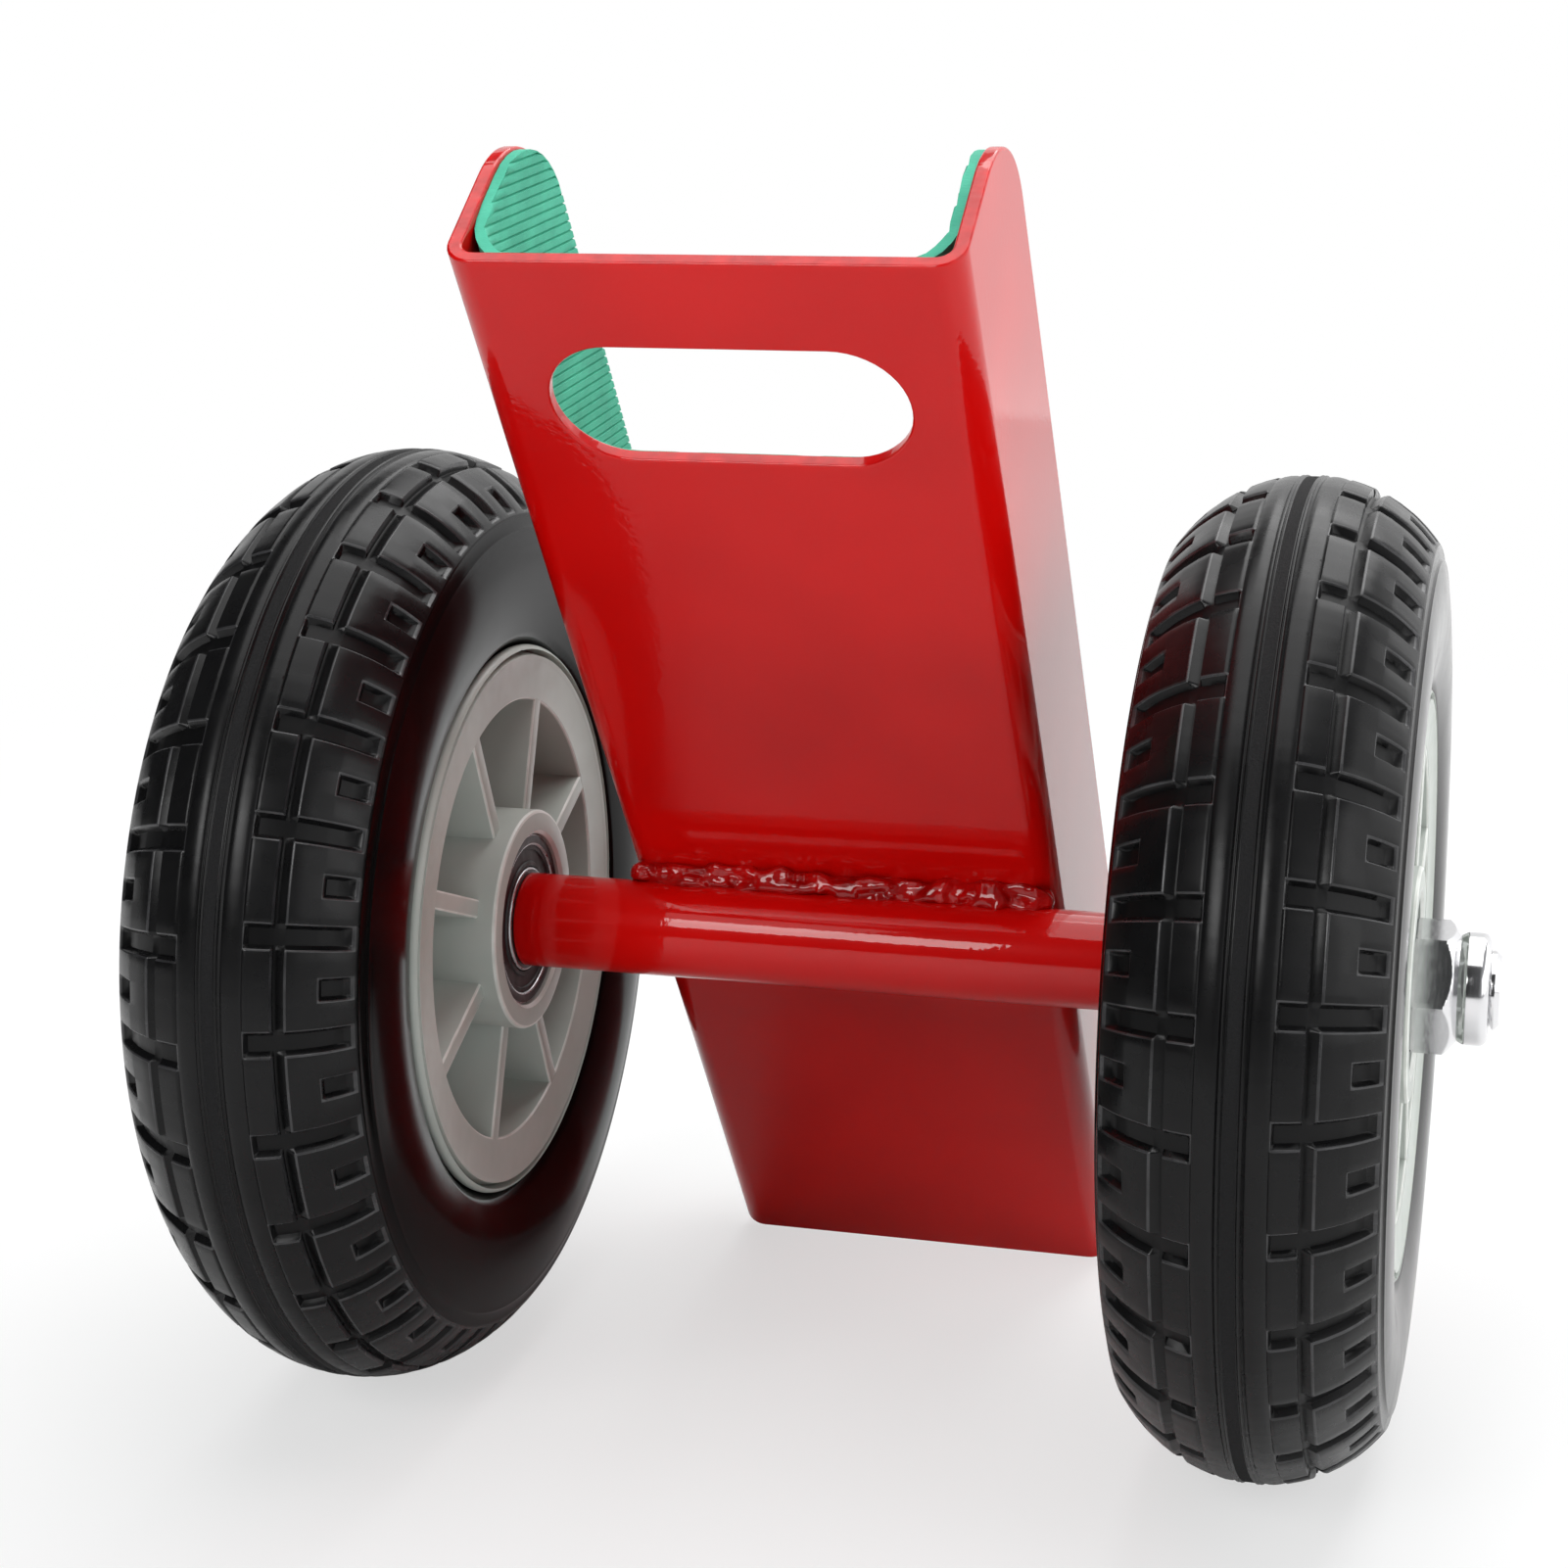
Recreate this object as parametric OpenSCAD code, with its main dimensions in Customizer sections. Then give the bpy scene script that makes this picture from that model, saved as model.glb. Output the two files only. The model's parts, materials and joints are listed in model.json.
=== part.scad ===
// Two-wheeled panel cart: a bent steel channel, open to the back, welded to an axle tube between two wheels.
// Millimetres. +Z is up, the floor is at Z = 0, the axle runs along X and the sheet stands on the +Y side.
// At rest the cart stands on both tyres and on the lower edge of the channel.

/* [Wheels] */
// Outside diameter of the tyre over its tread
wheel_d = 254; // [235:1:275]
// Overall width of the tyre
tyre_w = 67; // [64:1:76]
// Width across the two shoulder edges
shoulder_w = 63; // [58:0.5:63.5]
// Radius of the rounded tread, seen in a cut through the tyre
crown_r = 38; // [35:0.5:46]
// How far below the tread the tyre is widest
widest_drop = 32; // [28:0.5:36]
// Distance between the middle planes of the two wheels
track = 240; // [225:1:275]

/* [Tread] */
// Tread blocks round each side of the tyre
tread_pitches = 30; // [20:1:32]
// Depth of the tread grooves
tread_depth = 2; // [1:0.1:3]
// Width of a groove across the tread
cross_groove_w = 5.2; // [3:0.1:7]
// Width of a groove round the tread
ring_groove_w = 3; // [2:0.1:4]
// Distance between the middles of the two grooves round the tread
ring_groove_gap = 33; // [28:1:38]
// Width of the smooth rib in the middle of the tread
centre_rib_w = 17; // [12:1:20]
// Width of the smooth land beside each shoulder edge
shoulder_land_w = 1; // [0.6:0.1:3]
// Length of a shoulder notch across the tread
notch_l = 5.5; // [3:0.1:7]
// Width of a shoulder notch round the tread
notch_w = 5; // [3:0.1:6]
// Angle of the first groove, between its two sides
tread_turn = 7; // [0:0.5:12]
// Angle by which the grooves of one side run before that, and those of the other side after it
tread_stagger = 1; // [0:0.5:3]

/* [Rim] */
// Diameter over the lips of the rim
rim_d = 150; // [144:1:160]
// Width over the lips of the rim
rim_w = 63; // [58:0.5:66]
// Thickness of a lip
lip_t = 4; // [3:0.1:5]
// Height of a lip above the seat of the tyre
lip_h = 7; // [5:0.5:9]
// Thickness of the barrel that carries the tyre
barrel_t = 8; // [5:0.5:10]
// How far the ring face falls from the lip to the pockets
ring_dish = 1.5; // [0.5:0.1:3]
// Number of ribs on each face of the rim
rib_count = 8; // [5:1:10]
// Thickness of a rib
rib_t = 5; // [3:0.1:7]
// How far the ribs lie below the inner edge of the ring face
rib_drop = 0.4; // [0.2:0.1:2]
// Turn of the first rib from straight down
rib_turn = 26; // [0:1:45]
// Thickness of the disc between the ribs of the two faces
disc_t = 5; // [3:0.1:8]
// Outside diameter of the hub
hub_d = 60; // [56:0.5:66]
// Reach of the hub from the middle plane towards the channel
hub_inboard = 35; // [32:0.5:38]
// Reach of the hub from the middle plane towards the nut
hub_outboard = 31.5; // [29:0.5:36]
// Chamfer on the edges of the hub
hub_chamfer = 0.8; // [0.3:0.1:1.5]
// Bore of the hub between its two bearings
hub_bore_d = 40; // [34:0.5:42]

/* [Bearings] */
// Diameter of the axle shaft and of the bearing bores
shaft_d = 20; // [18:0.5:20.5]
// Outside diameter of a bearing
bearing_d = 47; // [45:0.5:50]
// Width of a bearing
bearing_w = 14; // [13:0.5:15]
// How far a bearing lies below the face of the hub
bearing_recess = 1.5; // [0.5:0.1:2.5]
// Diameter of a ball
ball_d = 7.9; // [7:0.1:8.2]
// Balls in one bearing
ball_count = 8; // [6:1:9]
// Outside diameter of an inner ring
inner_ring_d = 28.4; // [27:0.1:29]
// Inside diameter of an outer ring
outer_ring_d = 38.8; // [38:0.1:40]
// Thickness of a seal
seal_t = 1.2; // [0.8:0.1:1.3]
// Depth of a seal below the face of its bearing
seal_recess = 0.5; // [0.4:0.1:0.6]
// How far a seal reaches into the outer ring
seal_seat = 0.8; // [0.4:0.1:1.2]
// Width of a cage
cage_w = 9.6; // [9:0.1:9.8]
// Thickness of a cage
cage_t = 1.6; // [1:0.1:2.4]
// Outside diameter of the sleeve between two bearings
spacer_d = 26; // [24:0.5:28]

/* [Axle] */
// Outside diameter of the axle tube
tube_d = 25.4; // [24:0.1:28]
// Width of an axle nut across its flats
nut_flats = 30; // [27:0.5:32]
// Height of the hexagon of an axle nut
nut_hex_h = 12; // [9:0.5:14]
// Height of the round collar of an axle nut
nut_collar_h = 7.5; // [6:0.5:9]
// Diameter of the collar
nut_collar_d = 28.5; // [26:0.5:30]
// Rounding of the collar's outer edge
nut_collar_round = 2; // [1:0.1:2]
// Angle of one corner of the nut
nut_turn = 33; // [0:1:60]
// Thickness of the nylon ring in the nut
insert_t = 4; // [3:0.1:4.5]
// Outside diameter of the nylon ring
insert_d = 24; // [22.5:0.1:25]
// How far the shaft stands out of the nut
shaft_proud = 2.5; // [1:0.5:6]
// Chamfer on the ends of the shaft
shaft_chamfer = 1.2; // [0.5:0.1:2]

/* [Channel] */
// Width of the channel over its flanges
channel_w = 117; // [105:1:130]
// Height of the flanges from the outer face of the web
flange_h = 59; // [50:1:70]
// Thickness of the plate
plate_t = 3.5; // [2:0.1:5]
// Outer radius of the two bends
bend_r = 7; // [6:0.5:10]
// Length of the channel above the axle
upper_l = 219; // [200:1:240]
// Length of the channel below the axle
lower_l = 169; // [155:1:190]
// Radius of the free corners of the flanges
corner_r = 28; // [15:1:32]
// Length of the hand slot
slot_l = 84; // [70:1:95]
// Width of the hand slot
slot_w = 33.5; // [28:0.5:38]
// Distance from the upper end of the channel to the middle of the hand slot
slot_drop = 41; // [35:1:60]

/* [Liner] */
// Thickness of the liner
liner_t = 2.6; // [1.5:0.1:4]
// Outer radius of the bends of the liner
liner_bend_r = 10; // [9:0.5:14]
// How far the liner stops short of the ends of the channel
liner_end_inset = 1.2; // [0.5:0.1:5]
// How far the liner stops short of the free edges of the flanges
liner_edge_inset = 0.4; // [0.2:0.1:3]
// How far the liner stays clear of the edge of the hand slot
liner_slot_margin = 2.8; // [0.5:0.1:4]

/* [Welds] */
// Length of a weld bead
weld_l = 113; // [90:1:114]
// Radius of the rounded face of a weld bead
weld_r = 5.5; // [4:0.1:6.5]

/* [Hidden] */
$fn = 96;

// Clearances and the overrun of cuts
overrun = 1;
fit_play = 0.02;
tube_play = 0.1;
ball_play = 0.08;
cage_play = 0.15;
seal_play = 0.3;
weld_gap = 0.05;
weld_play = 0.02;
glue_gap = 0.05;
tyre_play = 0.05;
thread_play = 0.05;

// Sides of the cart, of a wheel and of the tube
left = -1;
right = 1;
inboard = 1;
outboard = -1;
upper = 1;
lower = -1;

// Tyre, in a cut through the axle: the crown arc meets the sidewall arc at the shoulder edge
wheel_r = wheel_d / 2;
crown_centre = wheel_r - crown_r;
shoulder_z = shoulder_w / 2;
shoulder_r = crown_centre + sqrt(pow(crown_r, 2) - pow(shoulder_z, 2));
widest_r = wheel_r - widest_drop;
side_in = tyre_w / 2 - shoulder_z;
side_up = shoulder_r - widest_r;
sidewall_r = (pow(side_in, 2) + pow(side_up, 2)) / (2 * side_in);
sidewall_z = tyre_w / 2 - sidewall_r;
tread_end_z = shoulder_z - shoulder_land_w;
pitch_angle = 360 / tread_pitches;

// Rim
rim_r = rim_d / 2;
seat_r = rim_r - lip_h;
pocket_r = seat_r - barrel_t;
lip_z = rim_w / 2;
face_z = lip_z - ring_dish;
hub_r = hub_d / 2;
rib_sink = barrel_t / 2;

// Bearings, as distances from the middle plane of the wheel
inboard_face = hub_inboard - bearing_recess;
outboard_face = hub_outboard - bearing_recess;
inboard_mid = inboard_face - bearing_w / 2;
outboard_mid = outboard_face - bearing_w / 2;
pitch_r = (shaft_d + bearing_d) / 4;
race_r = ball_d / 2 + ball_play;
seal_out_r = outer_ring_d / 2 + seal_seat;
seal_in_r = inner_ring_d / 2 + seal_play;

// Axle: nuts, bearings, spacers and tube form one clamped stack
shaft_r = shaft_d / 2;
tube_r = tube_d / 2;
tube_l = track - 2 * inboard_face;
nut_seat = track / 2 + outboard_face;
nut_h = nut_hex_h + nut_collar_h;
shaft_l = 2 * (nut_seat + nut_h + shaft_proud);
nut_corner_r = nut_flats / 2 / cos(30);
nut_chamfer = (nut_corner_r - nut_flats / 2) / 2;

// Lean of the channel: its lower edge touches the floor when both tyres do
web_offset = tube_r + weld_gap;
lean = acos(wheel_r / norm([lower_l, web_offset])) - atan(web_offset / lower_l);
channel_l = upper_l + lower_l;
slot_z = upper_l - slot_drop;

// The axle lies as far before the middle of the part's box as the flanges reach out behind
corner_reach_l = lower_l - corner_r;
corner_reach_h = web_offset + flange_h - corner_r;
rear_reach = corner_reach_l * sin(lean) + corner_reach_h * cos(lean) + corner_r;
axle_y = (wheel_r - rear_reach) / 2;

// Weld beads lie in the corners between the tube and the web
weld_sink_share = 0.3;
weld_sink = weld_r * weld_sink_share;
weld_y = web_offset - weld_sink;
weld_z = sqrt(pow(tube_r + weld_sink, 2) - pow(weld_y, 2));

red = [0.72, 0.02, 0.02];
green = [0.27, 0.69, 0.56];
black = [0.06, 0.06, 0.065];
grey = [0.69, 0.67, 0.64];
zinc = [0.82, 0.83, 0.84];
steel = [0.6, 0.61, 0.63];
nylon = [0.9, 0.9, 0.86];

// Places

module on_axle() {
    translate([0, axle_y, wheel_r]) children();
}

module along_x() {
    rotate([0, 90, 0]) children();
}

// Things on one side of the cart: drawn with +Z towards the middle of the cart, from the axle's middle
module on_side(side) {
    on_axle() {
        if (side == left) along_x() children();
        else mirror([1, 0, 0]) along_x() children();
    }
}

module at_wheel(side) {
    on_side(side) translate([0, 0, -track / 2]) children();
}

module at_bearing(side, end) {
    at_wheel(side) translate([0, 0, end == inboard ? inboard_mid : -outboard_mid]) children();
}

// Drawn with +Y out of the web and +Z up the channel
module on_channel() {
    on_axle() rotate([lean, 0, 0]) children();
}

// A cut across the channel, drawn with X out of the web and Y up the channel
module across_channel(width) {
    rotate([90, 0, 90]) linear_extrude(height = width, center = true) children();
}

// Plain shapes

module ring(outer_r, inner_r, height) {
    rotate_extrude() translate([inner_r, -height / 2]) square([outer_r - inner_r, height]);
}

// A flat shape on one side of the middle plane, and its mirror image on the other
module both_sides() {
    children();
    mirror([0, 1]) children();
}

// Tyre

module crown_disc(depth) {
    translate([crown_centre, 0]) circle(r = crown_r - depth);
}

module sidewall_disc() {
    translate([widest_r, sidewall_z]) circle(r = sidewall_r);
}

module tyre_section() {
    intersection() {
        crown_disc(0);
        union() {
            both_sides() intersection() {
                sidewall_disc();
                square([wheel_r + overrun, tyre_w]);
            }
            translate([widest_r, -tread_end_z]) square([widest_drop + overrun, 2 * tread_end_z]);
            translate([seat_r, lip_t - lip_z]) square([widest_r - seat_r, 2 * (lip_z - lip_t)]);
        }
    }
}

// Room that the rim takes from the tyre
module rim_room() {
    translate([0, -tyre_w]) square([seat_r + tyre_play, 2 * tyre_w]);
    both_sides() translate([0, lip_z - lip_t - tyre_play]) square([rim_r + tyre_play, tyre_w]);
}

module tread_band() {
    rotate_extrude() difference() {
        crown_disc(-overrun);
        crown_disc(tread_depth);
        translate([0, -tyre_w]) square([widest_r, 2 * tyre_w]);
        both_sides() translate([0, tread_end_z]) square([wheel_r + overrun, tyre_w]);
    }
}

module groove_box(width, inner_z, outer_z) {
    translate([widest_r, -width / 2, inner_z]) cube([widest_drop + overrun, width, outer_z - inner_z]);
}

// The grooves of one side of the tread, with a notch between each two
module tread_cuts() {
    for (step = [0 : tread_pitches - 1]) {
        rotate([0, 0, step * pitch_angle])
            groove_box(cross_groove_w, centre_rib_w / 2, tread_end_z);
        rotate([0, 0, (step + 0.5) * pitch_angle])
            groove_box(notch_w, tread_end_z - notch_l, tread_end_z);
    }
}

module ring_cuts() {
    rotate_extrude() both_sides() translate([widest_r, (ring_groove_gap - ring_groove_w) / 2])
        square([widest_drop + overrun, ring_groove_w]);
}

module tyre(side) {
    color(black) at_wheel(side) difference() {
        rotate_extrude() difference() {
            tyre_section();
            rim_room();
        }
        intersection() {
            tread_band();
            union() {
                rotate([0, 0, tread_turn + side * tread_stagger]) tread_cuts();
                mirror([0, 0, 1]) rotate([0, 0, tread_turn - side * tread_stagger]) tread_cuts();
                ring_cuts();
            }
        }
    }
}

// Rim

module rim_half_section() {
    polygon([[pocket_r, 0], [seat_r, 0], [seat_r, lip_z - lip_t], [rim_r - lip_t / 2, lip_z - lip_t],
        [rim_r - lip_t / 2, lip_z], [seat_r, lip_z], [pocket_r, face_z]]);
    translate([rim_r - lip_t / 2, lip_z - lip_t / 2]) circle(d = lip_t);
}

module hub_half_section(reach) {
    seat_z = reach - bearing_recess - bearing_w;
    mouth_r = bearing_d / 2 + fit_play;
    polygon([[hub_bore_d / 2, 0], [hub_bore_d / 2, seat_z], [mouth_r, seat_z],
        [mouth_r, reach - hub_chamfer], [mouth_r + hub_chamfer, reach], [hub_r - hub_chamfer, reach],
        [hub_r, reach - hub_chamfer], [hub_r, 0]]);
}

module rim(side) {
    color(grey) at_wheel(side) {
        rotate_extrude() {
            both_sides() rim_half_section();
            hub_half_section(hub_inboard);
            mirror([0, 1]) hub_half_section(hub_outboard);
            translate([hub_r - rib_sink, -disc_t / 2])
                square([pocket_r - hub_r + 2 * rib_sink, disc_t]);
        }
        rib_l = pocket_r - hub_r + 2 * rib_sink;
        rib_z = face_z - rib_drop;
        rib_end = min(rib_z, hub_outboard - hub_chamfer);
        for (step = [0 : rib_count - 1])
            rotate([0, 0, rib_turn + step * 360 / rib_count])
                translate([hub_r - rib_sink, -rib_t / 2, -rib_end]) cube([rib_l, rib_t, rib_z + rib_end]);
    }
}

// Bearings

module inner_ring(side, end) {
    color(steel) at_bearing(side, end) rotate_extrude() difference() {
        translate([shaft_r + fit_play, -bearing_w / 2])
            square([inner_ring_d / 2 - shaft_r - fit_play, bearing_w]);
        translate([pitch_r, 0]) circle(r = race_r);
    }
}

module outer_ring(side, end) {
    color(steel) at_bearing(side, end) rotate_extrude() difference() {
        translate([outer_ring_d / 2, -bearing_w / 2])
            square([(bearing_d - outer_ring_d) / 2, bearing_w]);
        translate([pitch_r, 0]) circle(r = race_r);
        both_sides() translate([0, bearing_w / 2 - seal_recess - seal_t - fit_play])
            square([seal_out_r, bearing_w]);
    }
}

module seals(side, end) {
    seal_z = bearing_w / 2 - seal_recess - seal_t / 2;
    color(black) at_bearing(side, end)
        for (face = [inboard, outboard])
            translate([0, 0, face * seal_z]) ring(seal_out_r - fit_play, seal_in_r, seal_t);
}

module ball_places() {
    for (step = [0 : ball_count - 1])
        rotate([0, 0, step * 360 / ball_count]) translate([pitch_r, 0, 0]) children();
}

module balls(side, end) {
    color(zinc) at_bearing(side, end) ball_places() sphere(d = ball_d);
}

module cage(side, end) {
    color(steel) at_bearing(side, end) difference() {
        ring(pitch_r + cage_t / 2, pitch_r - cage_t / 2, cage_w);
        ball_places() along_x() cylinder(r = ball_d / 2 + cage_play, h = 2 * cage_t, center = true);
    }
}

module bearing_spacer(side) {
    spacer_in = inboard_face - bearing_w;
    spacer_out = outboard_face - bearing_w;
    color(steel) at_wheel(side) translate([0, 0, (spacer_in - spacer_out) / 2])
        ring(spacer_d / 2, shaft_r + fit_play, spacer_in + spacer_out);
}

// Axle

module axle_tube() {
    color(red) on_axle() along_x() ring(tube_r, shaft_r + tube_play, tube_l);
}

module axle_shaft() {
    color(zinc) on_axle() along_x() rotate_extrude() {
        body_z = shaft_l / 2 - shaft_chamfer;
        tip_r = shaft_r - shaft_chamfer;
        polygon([[0, -shaft_l / 2], [tip_r, -shaft_l / 2], [shaft_r, -body_z],
            [shaft_r, body_z], [tip_r, shaft_l / 2], [0, shaft_l / 2]]);
    }
}

// Drawn with +Z out of the wheel, from the face that bears on the inner ring
module at_nut(side) {
    on_side(side) translate([0, 0, -nut_seat]) mirror([0, 0, 1]) children();
}

module axle_nut(side) {
    collar_r = nut_collar_d / 2;
    color(zinc) at_nut(side) difference() {
        union() {
            rotate([0, 0, nut_turn]) intersection() {
                linear_extrude(height = nut_hex_h) circle(r = nut_corner_r, $fn = 6);
                rotate_extrude() polygon([[0, 0], [nut_corner_r - nut_chamfer, 0],
                    [nut_corner_r, nut_chamfer], [nut_corner_r, nut_hex_h - 2 * nut_chamfer],
                    [nut_flats / 2 - nut_chamfer, nut_hex_h], [0, nut_hex_h]]);
            }
            rotate_extrude() {
                translate([0, nut_hex_h - nut_chamfer])
                    square([collar_r, nut_collar_h + nut_chamfer - nut_collar_round]);
                translate([0, nut_h - 2 * nut_collar_round])
                    square([collar_r - nut_collar_round, 2 * nut_collar_round]);
                translate([collar_r - nut_collar_round, nut_h - nut_collar_round])
                    circle(r = nut_collar_round);
            }
        }
        translate([0, 0, -overrun]) cylinder(r = shaft_r + thread_play, h = nut_h + 2 * overrun);
        translate([0, 0, nut_h - nut_collar_round - insert_t])
            cylinder(d = insert_d, h = insert_t);
    }
}

module nut_insert(side) {
    color(nylon) at_nut(side) translate([0, 0, nut_h - nut_collar_round - insert_t / 2])
        ring(insert_d / 2 - fit_play, shaft_r + thread_play, insert_t - 2 * fit_play);
}

// Channel

// Section of a tray, drawn with X across it and Y up from its floor
module tray_section(width, height, radius) {
    translate([-width / 2, radius]) square([width, height - radius]);
    translate([radius - width / 2, 0]) square([width - 2 * radius, height]);
    for (side = [left, right])
        translate([side * (width / 2 - radius), radius]) circle(r = radius);
}

module u_section(width, height, thickness, radius) {
    difference() {
        tray_section(width, height, radius);
        translate([0, thickness])
            tray_section(width - 2 * thickness, height - thickness + overrun, radius - thickness);
    }
}

// What is cut off to round one free corner of both flanges, drawn from the corner's sharp point
module corner_cut(width, radius) {
    across_channel(width) difference() {
        translate([-radius, -radius]) square([radius + overrun, radius + overrun]);
        translate([-radius, -radius]) circle(r = radius);
    }
}

module corner_cuts(edge_y, top_z, bottom_z, radius) {
    translate([0, edge_y, top_z]) corner_cut(channel_w + 2 * overrun, radius);
    translate([0, edge_y, bottom_z]) mirror([0, 0, 1]) corner_cut(channel_w + 2 * overrun, radius);
}

// Room for the hand slot, through the web, with a margin round it
module slot_cut(margin) {
    reach = web_offset + flange_h / 2;
    radius = slot_w / 2 + margin;
    end_x = (slot_l - slot_w) / 2;
    translate([0, 0, slot_z]) rotate([-90, 0, 0]) {
        for (side = [left, right]) translate([side * end_x, 0, 0]) cylinder(r = radius, h = reach);
        translate([-end_x, -radius, 0]) cube([2 * end_x, 2 * radius, reach]);
    }
}

module channel() {
    color(red) on_channel() difference() {
        translate([0, web_offset, -lower_l]) linear_extrude(height = channel_l)
            u_section(channel_w, flange_h, plate_t, bend_r);
        corner_cuts(web_offset + flange_h, upper_l, -lower_l, corner_r);
        slot_cut(0);
    }
}

module channel_liner() {
    liner_w = channel_w - 2 * (plate_t + glue_gap);
    liner_y = web_offset + plate_t + glue_gap;
    liner_h = flange_h - plate_t - glue_gap - liner_edge_inset;
    liner_top = upper_l - liner_end_inset;
    liner_bottom = liner_end_inset - lower_l;
    color(green) on_channel() difference() {
        translate([0, liner_y, liner_bottom]) linear_extrude(height = liner_top - liner_bottom)
            u_section(liner_w, liner_h, liner_t, liner_bend_r);
        corner_cuts(liner_y + liner_h, liner_top, liner_bottom, corner_r - liner_end_inset);
        slot_cut(liner_slot_margin);
    }
}

// Welds

module weld(side) {
    color(red) on_channel() difference() {
        translate([0, weld_y, side * weld_z]) along_x() cylinder(r = weld_r, h = weld_l, center = true);
        along_x() cylinder(r = tube_r + weld_play, h = weld_l + 2 * overrun, center = true);
        translate([-weld_l / 2 - overrun, web_offset, -tube_d])
            cube([weld_l + 2 * overrun, weld_r + tube_r, 2 * tube_d]);
    }
}

channel();
channel_liner();
axle_tube();
weld(upper);  // upper_weld
weld(lower);  // lower_weld
axle_shaft();
axle_nut(left);  // left_axle_nut
axle_nut(right);  // right_axle_nut
nut_insert(left);  // left_nut_insert
nut_insert(right);  // right_nut_insert
bearing_spacer(left);  // left_bearing_spacer
bearing_spacer(right);  // right_bearing_spacer
tyre(left);  // left_tyre
tyre(right);  // right_tyre
rim(left);  // left_rim
rim(right);  // right_rim
inner_ring(left, inboard);  // left_inboard_inner_ring
inner_ring(left, outboard);  // left_outboard_inner_ring
inner_ring(right, inboard);  // right_inboard_inner_ring
inner_ring(right, outboard);  // right_outboard_inner_ring
outer_ring(left, inboard);  // left_inboard_outer_ring
outer_ring(left, outboard);  // left_outboard_outer_ring
outer_ring(right, inboard);  // right_inboard_outer_ring
outer_ring(right, outboard);  // right_outboard_outer_ring
seals(left, inboard);  // left_inboard_seals
seals(left, outboard);  // left_outboard_seals
seals(right, inboard);  // right_inboard_seals
seals(right, outboard);  // right_outboard_seals
balls(left, inboard);  // left_inboard_balls
balls(left, outboard);  // left_outboard_balls
balls(right, inboard);  // right_inboard_balls
balls(right, outboard);  // right_outboard_balls
cage(left, inboard);  // left_inboard_cage
cage(left, outboard);  // left_outboard_cage
cage(right, inboard);  // right_inboard_cage
cage(right, outboard);  // right_outboard_cage
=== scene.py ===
import json
import math

import bmesh
import bpy
import numpy as np
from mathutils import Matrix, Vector, noise


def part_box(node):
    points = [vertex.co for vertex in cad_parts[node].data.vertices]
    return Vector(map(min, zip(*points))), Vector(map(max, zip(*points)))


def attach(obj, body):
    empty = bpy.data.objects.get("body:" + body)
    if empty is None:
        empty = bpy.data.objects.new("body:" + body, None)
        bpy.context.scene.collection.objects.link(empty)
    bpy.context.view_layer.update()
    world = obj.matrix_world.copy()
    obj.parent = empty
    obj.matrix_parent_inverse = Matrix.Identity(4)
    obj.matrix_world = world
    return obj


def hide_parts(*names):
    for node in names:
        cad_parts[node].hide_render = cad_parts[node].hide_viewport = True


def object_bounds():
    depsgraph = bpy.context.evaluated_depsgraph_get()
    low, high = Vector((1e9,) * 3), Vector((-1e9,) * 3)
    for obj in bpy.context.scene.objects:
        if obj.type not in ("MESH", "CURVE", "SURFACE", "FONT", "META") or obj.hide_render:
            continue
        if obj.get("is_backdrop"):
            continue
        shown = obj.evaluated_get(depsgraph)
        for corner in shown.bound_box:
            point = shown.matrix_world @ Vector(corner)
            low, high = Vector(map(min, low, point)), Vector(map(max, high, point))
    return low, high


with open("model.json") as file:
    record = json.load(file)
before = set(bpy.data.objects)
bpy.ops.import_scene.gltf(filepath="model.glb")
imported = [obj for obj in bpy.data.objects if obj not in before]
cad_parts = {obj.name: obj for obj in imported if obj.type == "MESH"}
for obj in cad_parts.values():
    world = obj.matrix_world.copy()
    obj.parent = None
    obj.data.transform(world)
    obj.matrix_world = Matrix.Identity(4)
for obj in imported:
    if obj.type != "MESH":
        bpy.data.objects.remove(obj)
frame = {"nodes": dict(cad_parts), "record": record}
cad_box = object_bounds()

MM = 0.001
MERGE = 0.001
LEFT = -1
RIGHT = 1
SIDES = {"left": LEFT, "right": RIGHT}
INBOARD = -1
OUTBOARD = 1
ENDS = {"inboard": INBOARD, "outboard": OUTBOARD}


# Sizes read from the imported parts
def node_box(node):
    low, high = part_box(node)
    return np.array(low) / MM, np.array(high) / MM


def node_size(node):
    low, high = node_box(node)
    return high - low


def node_middle(node):
    low, high = node_box(node)
    return (low + high) / 2


AXLE = node_middle("axle_tube")
WHEEL_R = AXLE[2]
WHEEL_X = node_middle("right_tyre")[0]
TYRE_HALF = node_size("right_tyre")[0] / 2
RIM_R = node_size("right_rim")[2] / 2
TUBE_R = node_size("axle_tube")[2] / 2
TUBE_HALF = node_size("axle_tube")[0] / 2
SHAFT_R = node_size("axle_shaft")[2] / 2
SHAFT_HALF = node_size("axle_shaft")[0] / 2
BEARING_R = node_size("right_inboard_outer_ring")[2] / 2
BEARING_W = node_size("right_inboard_outer_ring")[0]
CHANNEL_HALF = node_size("channel")[0] / 2
WELD_HALF = node_size("upper_weld")[0] / 2
seat_axis = next(m for m in frame["record"]["mounts"] if m["name"] == "panel_seat")["axis"]
LEAN = math.degrees(math.atan2(seat_axis[2], seat_axis[1]))

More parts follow.
